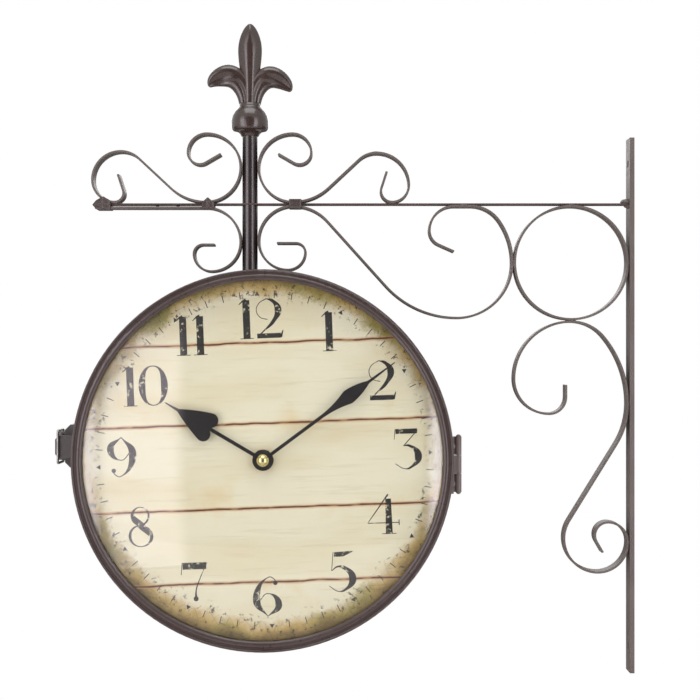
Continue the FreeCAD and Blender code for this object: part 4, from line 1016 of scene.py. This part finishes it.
# Fat-and-thin figures, one unit tall: each point has its place and the pen's half width there
FIGURES: dict[str, Sequence[Pen]] = {
    "0": [(Stroke.LOOP, [(.37, .01, .011), (.09, .5, .085), (.37, .99, .011), (.65, .5, .085)])],
    "1": [(Stroke.LINE, [(.22, .0, .088), (.22, .97, .088)]),
          (Stroke.LINE, [(.04, .86, .009), (.15, .96, .02), (.22, .985, .03)]),
          (Stroke.LINE, [(.05, .008, .009), (.39, .008, .009)])],
    "2": [(Stroke.BEND, [(.3, .99, .011), (.46, .93, .04), (.59, .72, .085), (.47, .43, .045), (.2, .17, .016),
                         (.06, .04, .011)]),
          (Stroke.BEND, [(.3, .99, .011), (.11, .87, .01), (.05, .7, .01), (.14, .53, .01), (.32, .47, .01)]),
          (Stroke.LINE, [(.05, .065, .06), (.64, .065, .06)]),
          (Stroke.LINE, [(.64, .02, .03), (.7, .2, .01)])],
    "3": [(Stroke.LINE, [(.08, .935, .062), (.62, .935, .062)]),
          (Stroke.LINE, [(.07, .99, .009), (.04, .74, .009)]),
          (Stroke.LINE, [(.63, .96, .011), (.27, .57, .011)]),
          (Stroke.BEND, [(.26, .575, .01), (.42, .57, .03), (.63, .31, .09), (.43, .03, .026), (.28, .0, .01),
                         (.05, .13, .009)])],
    "4": [(Stroke.LINE, [(.56, .99, .02), (.03, .285, .009)]),
          (Stroke.LINE, [(.56, .0, .086), (.56, .88, .07)]),
          (Stroke.LINE, [(.03, .28, .01), (.82, .28, .01)]),
          (Stroke.LINE, [(.815, .35, .011), (.815, .21, .011)]),
          (Stroke.LINE, [(.38, .008, .009), (.74, .008, .009)])],
    "5": [(Stroke.LINE, [(.19, .92, .06), (.42, .93, .06), (.66, .99, .009)]),
          (Stroke.LINE, [(.17, .98, .009), (.12, .52, .009)]),
          (Stroke.BEND, [(.12, .52, .01), (.28, .62, .02), (.43, .59, .045), (.64, .31, .09), (.43, .03, .028),
                         (.28, .0, .01), (.05, .14, .009)])],
    "6": [(Stroke.BEND, [(.6, .87, .013), (.54, .95, .011), (.43, .99, .01), (.1, .42, .092), (.37, .01, .01)]),
          (Stroke.BEND, [(.37, .01, .01), (.65, .3, .084), (.39, .58, .01), (.17, .4, .013)]),
          (Stroke.BALL, [(.585, .84, .055)])],
    "7": [(Stroke.LINE, [(.07, .905, .085), (.66, .905, .085)]),
          (Stroke.LINE, [(.06, .99, .009), (.03, .69, .009)]),
          (Stroke.BEND, [(.68, .98, .01), (.5, .6, .011), (.39, .3, .016), (.38, .1, .03)]),
          (Stroke.BALL, [(.38, .085, .062)])],
    "8": [(Stroke.LOOP, [(.36, .01, .01), (.1, .26, .034), (.33, .53, .016), (.64, .25, .04)]),
          (Stroke.LOOP, [(.38, .99, .01), (.17, .79, .036), (.36, .55, .02), (.58, .78, .024)]),
          (Stroke.BEND, [(.2, .76, .04), (.38, .54, .085), (.6, .3, .05)])],
}
FIGURES["9"] = [(way, [(.74 - x, 1.0 - y, half) for x, y, half in points]) for way, points in FIGURES["6"]]
ADVANCES = {"1": 0.425}


@dataclass
class Dial:
    """One printed dial: boards, twelve plain figures, a minute track, glass and hands."""

    side: Side
    centre: Pair = (-240.033, -34.032)
    face: float = 26.0
    tilt: float = 2.1
    ring_shift: Pair = (-2.7, 5.0)
    figure_r: float = 88.4
    figure_high: float = 25.5
    figure_back: float = 1.6
    track_r: float = 105.5
    track_back: float = 2.6
    track_shift: Pair = (0.8, 0.0)
    # How far each figure stands off its even place, from one o'clock on, as the print has them
    nudges: Sequence[Pair] = (
        (2.3, -0.8), (3.2, -0.6), (6.4, -0.3), (0.0, 2.5), (6.4, -0.6), (2.9, -3.8), (1.5, -5.1), (0.0, -1.4),
        (1.2, -0.7), (5.1, 0.0), (3.2, -1.1), (3.8, -3.4),
    )
    tick_long: float = 4.6
    tick_half: float = 0.27
    wedge: float = 1.8
    ink_thick: float = 0.03
    advance: float = 0.75
    glass_station: float = 36.0
    glass_thick: float = 2.0
    glass_rise: float = 14.0
    dome_r: float = 113.8
    brim_r: float = 117.8
    glass_rings: int = 40
    glass_steps: int = 128
    pen_steps: int = 14
    dot_sides: int = 28
    hand_edge: float = 0.14
    # Crossing strokes lie a little apart, so that no two of their faces share a plane
    slips: Sequence[float] = (0.0, 0.004, 0.008, 0.012)

    def draw(self, curve: bpy.types.Curve, bm: Mesh, pens: Iterable[Pen], place: Matrix, size: float) -> None:
        """Draw pen strokes as flat ribbons, and dots as discs.

        Args:
            curve: Curve that gets the ribbons.
            bm: Mesh that gets the discs.
            pens: The strokes.
            place: Where the strokes' origin goes, in millimetres.
            size: Millimetres per unit of the strokes.
        """
        for way, points in pens:
            slip = self.slips[len(curve.splines) % len(self.slips)]
            spots = [(place @ Vector((x * size, y * size, slip)), half * size) for x, y, half in points]
            if way is Stroke.BALL:
                bmesh.ops.create_circle(bm, cap_ends=True, segments=self.dot_sides, radius=spots[0][1],
                                        matrix=Matrix.Translation(spots[0][0]))
                continue
            spline = curve.splines.new("BEZIER")
            spline.bezier_points.add(len(spots) - 1)
            spline.use_cyclic_u = way is Stroke.LOOP
            spline.radius_interpolation = "LINEAR" if way is Stroke.LINE else "EASE"
            for point, (spot, half) in zip(spline.bezier_points, spots):
                point.co = spot
                point.radius = half
                point.tilt = math.pi / 2
                handle = "VECTOR" if way is Stroke.LINE else "AUTO"
                point.handle_left_type = point.handle_right_type = handle

    def figures(self, curve: bpy.types.Curve, bm: Mesh) -> None:
        """Draw the twelve figures upright round the ring.

        Args:
            curve: Curve that gets the ribbons.
            bm: Mesh that gets the dots.
        """
        lean = Matrix.Rotation(math.radians(self.tilt), 4, "Z")
        for hour in range(1, 13):
            digits = str(hour)
            wide = sum(ADVANCES.get(digit, self.advance) for digit in digits)
            angle = math.radians(30 * hour - self.figure_back)
            nudge = self.nudges[hour - 1]
            spot = Vector((self.ring_shift[0] + nudge[0] + self.figure_r * math.sin(angle),
                           self.ring_shift[1] + nudge[1] + self.figure_r * math.cos(angle), 0.0))
            pen_x = -wide / 2
            for digit in digits:
                corner = Matrix.Translation(Vector((pen_x, -0.5, 0.0)) * self.figure_high)
                self.draw(curve, bm, FIGURES[digit], Matrix.Translation(spot) @ lean @ corner, self.figure_high)
                pen_x += ADVANCES.get(digit, self.advance)

    def track(self, curve: bpy.types.Curve, bm: Mesh) -> None:
        """Draw the minute ticks, and a wedge at each hour.

        Args:
            curve: Curve that gets the ticks.
            bm: Mesh that gets the wedges.
        """
        middle = Matrix.Translation((*self.track_shift, 0.0))
        for minute in range(60):
            spoke = middle @ Matrix.Rotation(-math.radians(6 * minute - self.track_back), 4, "Z")
            if minute % 5:
                ends = [(0.0, self.track_r - self.tick_long / 2, self.tick_half),
                        (0.0, self.track_r + self.tick_long / 2, self.tick_half)]
                self.draw(curve, bm, [(Stroke.LINE, ends)], spoke, 1.0)
            else:
                # The wedge is a three-sided disc with its point outwards
                bmesh.ops.create_circle(bm, cap_ends=True, segments=3, radius=self.wedge,
                                        matrix=spoke @ Matrix.Translation((0.0, self.track_r, 0.0)))

    def print_figures(self) -> None:
        """Make all the printing of this dial one thin piece."""
        curve = bpy.data.curves.new("pen strokes", "CURVE")
        curve.dimensions = "3D"
        curve.twist_mode = "Z_UP"
        curve.extrude = 1.0
        curve.resolution_u = self.pen_steps
        bm = bmesh.new()
        self.figures(curve, bm)
        self.track(curve, bm)
        pen = stand("pen strokes", curve)
        bpy.context.view_layer.update()
        ribbons = bpy.data.meshes.new_from_object(pen.evaluated_get(bpy.context.evaluated_depsgraph_get()))
        bm.from_mesh(ribbons)
        bpy.data.objects.remove(pen)
        bpy.data.curves.remove(curve)
        bpy.data.meshes.remove(ribbons)
        bmesh.ops.remove_doubles(bm, verts=bm.verts, dist=1e-4)
        bmesh.ops.solidify(bm, geom=bm.faces, thickness=self.ink_thick)
        bmesh.ops.recalc_face_normals(bm, faces=bm.faces)
        about = Matrix.Rotation(0.0 if self.side is Side.FRONT else math.pi, 4, "Z")
        axis = Matrix.Translation(Vector((self.centre[0], 0.0, self.centre[1])) * MM)
        lift = Matrix.Translation((0.0, -(self.face + self.ink_thick) * MM, 0.0))
        upright = Matrix.Rotation(math.pi / 2, 4, "X")
        bmesh.ops.transform(bm, matrix=axis @ about @ lift @ upright @ Matrix.Scale(MM, 4), verts=bm.verts)
        ink = WornInk(f"chipped black ink on boards, {self.side.word}", self.side, self.centre, self.tilt)
        place_piece(bm, f"{self.side.word}_dial_figures", self.side.case_body, ink, crease=40)

    def slump_glass(self) -> None:
        """Make the domed glass with evenly turned normals, so that the dial is seen through it unbent."""
        ball_r = (self.dome_r ** 2 + self.glass_rise ** 2) / (2 * self.glass_rise)
        steps = [self.dome_r * ring / self.glass_rings for ring in range(self.glass_rings + 1)]
        arc = [(r, math.sqrt(ball_r ** 2 - r ** 2) - ball_r + self.glass_rise) for r in steps]
        inner = self.glass_station - self.glass_thick
        profile = [(r, self.glass_station + rise) for r, rise in arc]
        profile += [(self.brim_r, self.glass_station), (self.brim_r, inner)]
        profile += [(r, inner + rise) for r, rise in reversed(arc)]
        bm = bmesh.new()
        turned(bm, profile, Vector((0, self.side.value, 0)), Vector((self.centre[0], 0.0, self.centre[1])) * MM,
               Vector((1, 0, 0)), self.glass_steps)
        word = self.side.word
        place_piece(bm, f"{word}_glass_dome", self.side.case_body, CLEAR_GLASS, [f"{word}_glass"],
                    crease=8)

    def build(self) -> None:
        """Dress the dial, make its glass, print it, and paint its hands."""
        word = self.side.word
        boards = AgedBoards(f"varnished board print, {word}", self.side, self.centre, self.tilt)
        dress([f"{word}_dial"], boards)
        self.slump_glass()
        dress([f"{word}_glass_seal"], FOAM_RUBBER)
        # The cap nut wears the brass painted paler, as a painted highlight
        dress([f"{word}_cap_nut"], PALE_BRASS_PAINTED_HIGHLIGHT)
        self.print_figures()
        for hand in ("hour", "minute"):
            softened(f"{word}_{hand}_hand", f"{word}_{hand}_hand_blade", f"{word}_{hand}", HAND_PAINT,
                     self.hand_edge)


# ---------------------------------------------------------------- case


@dataclass
class Case:
    """Sheet drum in two halves, with rolled rims."""

    def build(self) -> None:
        """Paint the halves and their rims."""
        for side in Side:
            dress([f"{side.word}_shell", f"{side.word}_bezel"], CASE_PAINT)


@dataclass
class Hinge:
    """Three-knuckle hinge at the wall side of the drum."""

    edge: float = 0.3
    leaves: Sequence[tuple[str, str]] = (("hinge_fixed_leaf", ROOT_BODY), ("hinge_moving_leaf", DOOR_BODY))

    def build(self) -> None:
        """Round the leaves over and paint them."""
        for leaf, body in self.leaves:
            # The leaves, pin and screws wear enamel painted pale as a painted highlight
            softened(leaf, f"{leaf}_pressing", body, PALE_HINGE_PAINTED_HIGHLIGHT, self.edge)
        dress(["hinge_pin", "hinge_fixed_screws", "hinge_moving_screws"], PALE_HINGE_PAINTED_HIGHLIGHT)


@dataclass
class Catch:
    """Toggle catch at the far side of the drum."""

    edge: float = 0.3
    pressings: Sequence[tuple[str, str]] = (("latch_base", ROOT_BODY), ("latch_keeper", DOOR_BODY),
                                            ("latch_lever", "latch_lever"))

    def build(self) -> None:
        """Round the pressings over and paint them."""
        for part, body in self.pressings:
            softened(part, f"{part}_pressing", body, CATCH_PAINT, self.edge)
        dress(["latch_pin", "latch_bail"], ZINC)


@dataclass
class Movement:
    """Battery movement behind one dial."""

    side: Side

    def build(self) -> None:
        """Give each piece of the movement its material."""
        word = self.side.word
        low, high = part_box(f"{word}_battery")
        sleeve = CellSleeve(f"lacquered steel cell sleeve, {word}", "#3f5a6b", "#c4c4c0",
                            (low.x + high.x) / 2 / MM, (high.x - low.x) / 2 / MM)
        groups = (
            (BLACK_ABS, ("movement_housing", "movement_cover")),
            (BRASS, ("mounting_nut", "minute_arbor")),
            (ACETAL, ("hour_wheel", "set_arbor")),
            (COPPER_COIL, ("drive_coil",)),
            (LAMINATE, ("circuit_board",)),
            (ZINC, ("battery_contacts",)),
            (sleeve, ("battery",)),
        )
        for finish, parts in groups:
            dress([f"{word}_{part}" for part in parts], finish)


# ---------------------------------------------------------------- studio


@dataclass(frozen=True)
class PaleFloor(Finish):
    """Matt pale studio floor."""

    colour: str

    def surface(self, tree: Tree) -> Socket:
        """Plain matt paint."""
        return add(tree, "BsdfPrincipled", {"Base Color": linear(self.colour), "Roughness": 0.9})


@dataclass(frozen=True)
class SoftBox:
    """Soft box whose glow fades towards its edges, so that its mirror image in the glass has none."""

    name: str
    place: Triple
    size: Pair
    power: float
    tint: str
    # Share of its width and of its height over which each edge fades
    fade: Pair

    def glow(self, tree: Tree) -> None:
        """Make the light even in the middle and fading at the edges.

        Args:
            tree: Node tree of the lamp.
        """
        tree.nodes.clear()
        spot = add(tree, "NewGeometry", out="Parametric")
        strength: Any = 1.0
        for along, share in zip("XY", self.fade):
            across = add(tree, "SeparateXYZ", {0: spot}, along)
            aside = add(tree, "Math", {0: across, 1: 0.5}, operation="SUBTRACT")
            apart = add(tree, "Math", {0: aside}, operation="ABSOLUTE")
            lit = add(tree, "MapRange", {"Value": apart, "From Min": 0.5 - share, "From Max": 0.5,
                                         "To Min": 1.0, "To Max": 0.0}, interpolation_type="SMOOTHSTEP")
            strength = add(tree, "Math", {0: lit, 1: strength}, operation="MULTIPLY")
        silk = add(tree, "Emission", {"Strength": strength})
        add(tree, "OutputLight", {"Surface": silk})

    def hang(self, aim: Triple) -> None:
        """Hang the box in the scene.

        Args:
            aim: Point that it faces, in millimetres.
        """
        lamp = bpy.data.lights.new(self.name, "AREA")
        lamp.shape = "RECTANGLE"
        lamp.size, lamp.size_y = (side * MM for side in self.size)
        lamp.energy = self.power
        lamp.color = linear(self.tint)[:3]
        lamp.use_nodes = True
        self.glow(lamp.node_tree)
        box = stand(self.name, lamp)
        box.location = Vector(self.place) * MM
        box.rotation_euler = (Vector(aim) * MM - box.location).to_track_quat("-Z", "Y").to_euler()


@dataclass
class Studio:
    """Camera at the photograph's place, soft boxes at both sides, above and behind, and a pale floor."""

    eye: Triple = (-184.76, -1050.0, 35.97)
    lens: float = 82.57
    sensor: float = 36.0
    aim: Triple = (-240.0, 0.0, 0.0)
    boxes: Sequence[SoftBox] = (
        SoftBox("left soft box", (-1263.0, -909.0, 40.0), (560.0, 2200.0), 9.3, "#fff8fb", (0.1, 0.35)),
        SoftBox("right soft box", (691.0, -1014.0, -70.0), (560.0, 2200.0), 9.1, "#fff8fb", (0.1, 0.35)),
        SoftBox("left screen", (-866.0, -1149.0, -95.0), (478.0, 1450.0), 4.1, "#fff0fb", (0.2, 0.2)),
        SoftBox("left edge strip", (-1116.0, -1066.0, 40.0), (150.0, 2400.0), 4.4, "#f8f2ff", (0.5, 0.4)),
        SoftBox("right edge strip", (531.0, -1151.0, -70.0), (150.0, 2400.0), 5.6, "#f8f2ff", (0.5, 0.4)),
        SoftBox("top soft box", (-240.0, -500.0, 1500.0), (1300.0, 900.0), 9.4, "#ffffff", (0.02, 0.02)),
        SoftBox("rear soft box", (-240.0, 1400.0, 700.0), (1500.0, 900.0), 9.0, "#ffffff", (0.02, 0.02)),
    )
    fill: float = 0.27
    bright_side: float = 0.7
    dark_side: float = 0.08
    # How squarely a direction faces a dial where the room starts and ends going dark
    dark_span: Pair = (0.8, 0.9)
    floor_z: float = -620.0
    floor_half: float = 1500.0
    floor_paint: Finish = PaleFloor("matt pale studio floor", "#f1efea")

    def camera(self) -> None:
        """Set the camera level, looking along +Y."""
        lens = bpy.data.cameras.new("camera")
        lens.lens = self.lens
        lens.sensor_width = self.sensor
        camera = stand("camera", lens)
        camera.location = Vector(self.eye) * MM
        camera.rotation_euler = (math.pi / 2, 0.0, 0.0)
        bpy.context.scene.camera = camera

    def surroundings(self) -> None:
        """White round the clock, a soft fill on it, and dark where a camera stands in front of a dial."""
        world = bpy.data.worlds.new("white room")
        bpy.context.scene.world = world
        world.use_nodes = True
        tree = world.node_tree
        tree.nodes.clear()
        glossy, seen = (add(tree, "LightPath", out=f"Is {ray} Ray") for ray in ("Glossy", "Camera"))
        way = add(tree, "TexCoord", out="Generated")
        ahead = add(tree, "SeparateXYZ", {0: way}, "Y")
        facing = add(tree, "Math", {0: ahead}, operation="ABSOLUTE")
        mirrored = add(tree, "MapRange", {"Value": facing, "From Min": self.dark_span[0],
                                          "From Max": self.dark_span[1], "To Min": self.bright_side,
                                          "To Max": self.dark_side}, interpolation_type="SMOOTHSTEP")
        change = add(tree, "Math", {0: mirrored, 1: self.fill}, operation="SUBTRACT")
        lit = add(tree, "Math", {0: glossy, 1: change, 2: self.fill}, operation="MULTIPLY_ADD")
        strength = add(tree, "Math", {0: lit, 1: seen}, operation="MAXIMUM")
        room = add(tree, "Background", {"Color": linear("#ffffff"), "Strength": strength})
        add(tree, "OutputWorld", {"Surface": room})

    def floor(self) -> None:
        """Lay the floor below the clock."""
        bm = bmesh.new()
        place = Matrix.Translation((self.aim[0] * MM, 0.0, self.floor_z * MM))
        bmesh.ops.create_grid(bm, x_segments=1, y_segments=1, size=self.floor_half * MM, matrix=place)
        mesh = bpy.data.meshes.new("studio_floor")
        bm.to_mesh(mesh)
        bm.free()
        mesh.materials.append(self.floor_paint.material())
        stand("studio_floor", mesh)

    def build(self) -> None:
        """Set up the studio."""
        self.camera()
        for box in self.boxes:
            box.hang(self.aim)
        self.surroundings()
        self.floor()
        bpy.context.scene.view_settings.view_transform = "Standard"


def clear_start_scene() -> None:
    """Remove the objects that Blender starts with."""
    kept = set(frame["nodes"].values()) | set(frame["bodies"].values())
    for thing in list(bpy.data.objects):
        if thing not in kept:
            bpy.data.objects.remove(thing)


def main() -> None:
    """Build every sub-assembly in order."""
    logging.basicConfig(level=logging.INFO, format="%(name)s: %(message)s")
    clear_start_scene()
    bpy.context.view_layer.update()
    for assembly in (Studio(), Bracket(), Finial(), Collars(), WeldBeads(), Case(), Hinge(), Catch()):
        assembly.build()
    for side in Side:
        Dial(side).build()
        Movement(side).build()


if __name__ == "__main__":
    main()
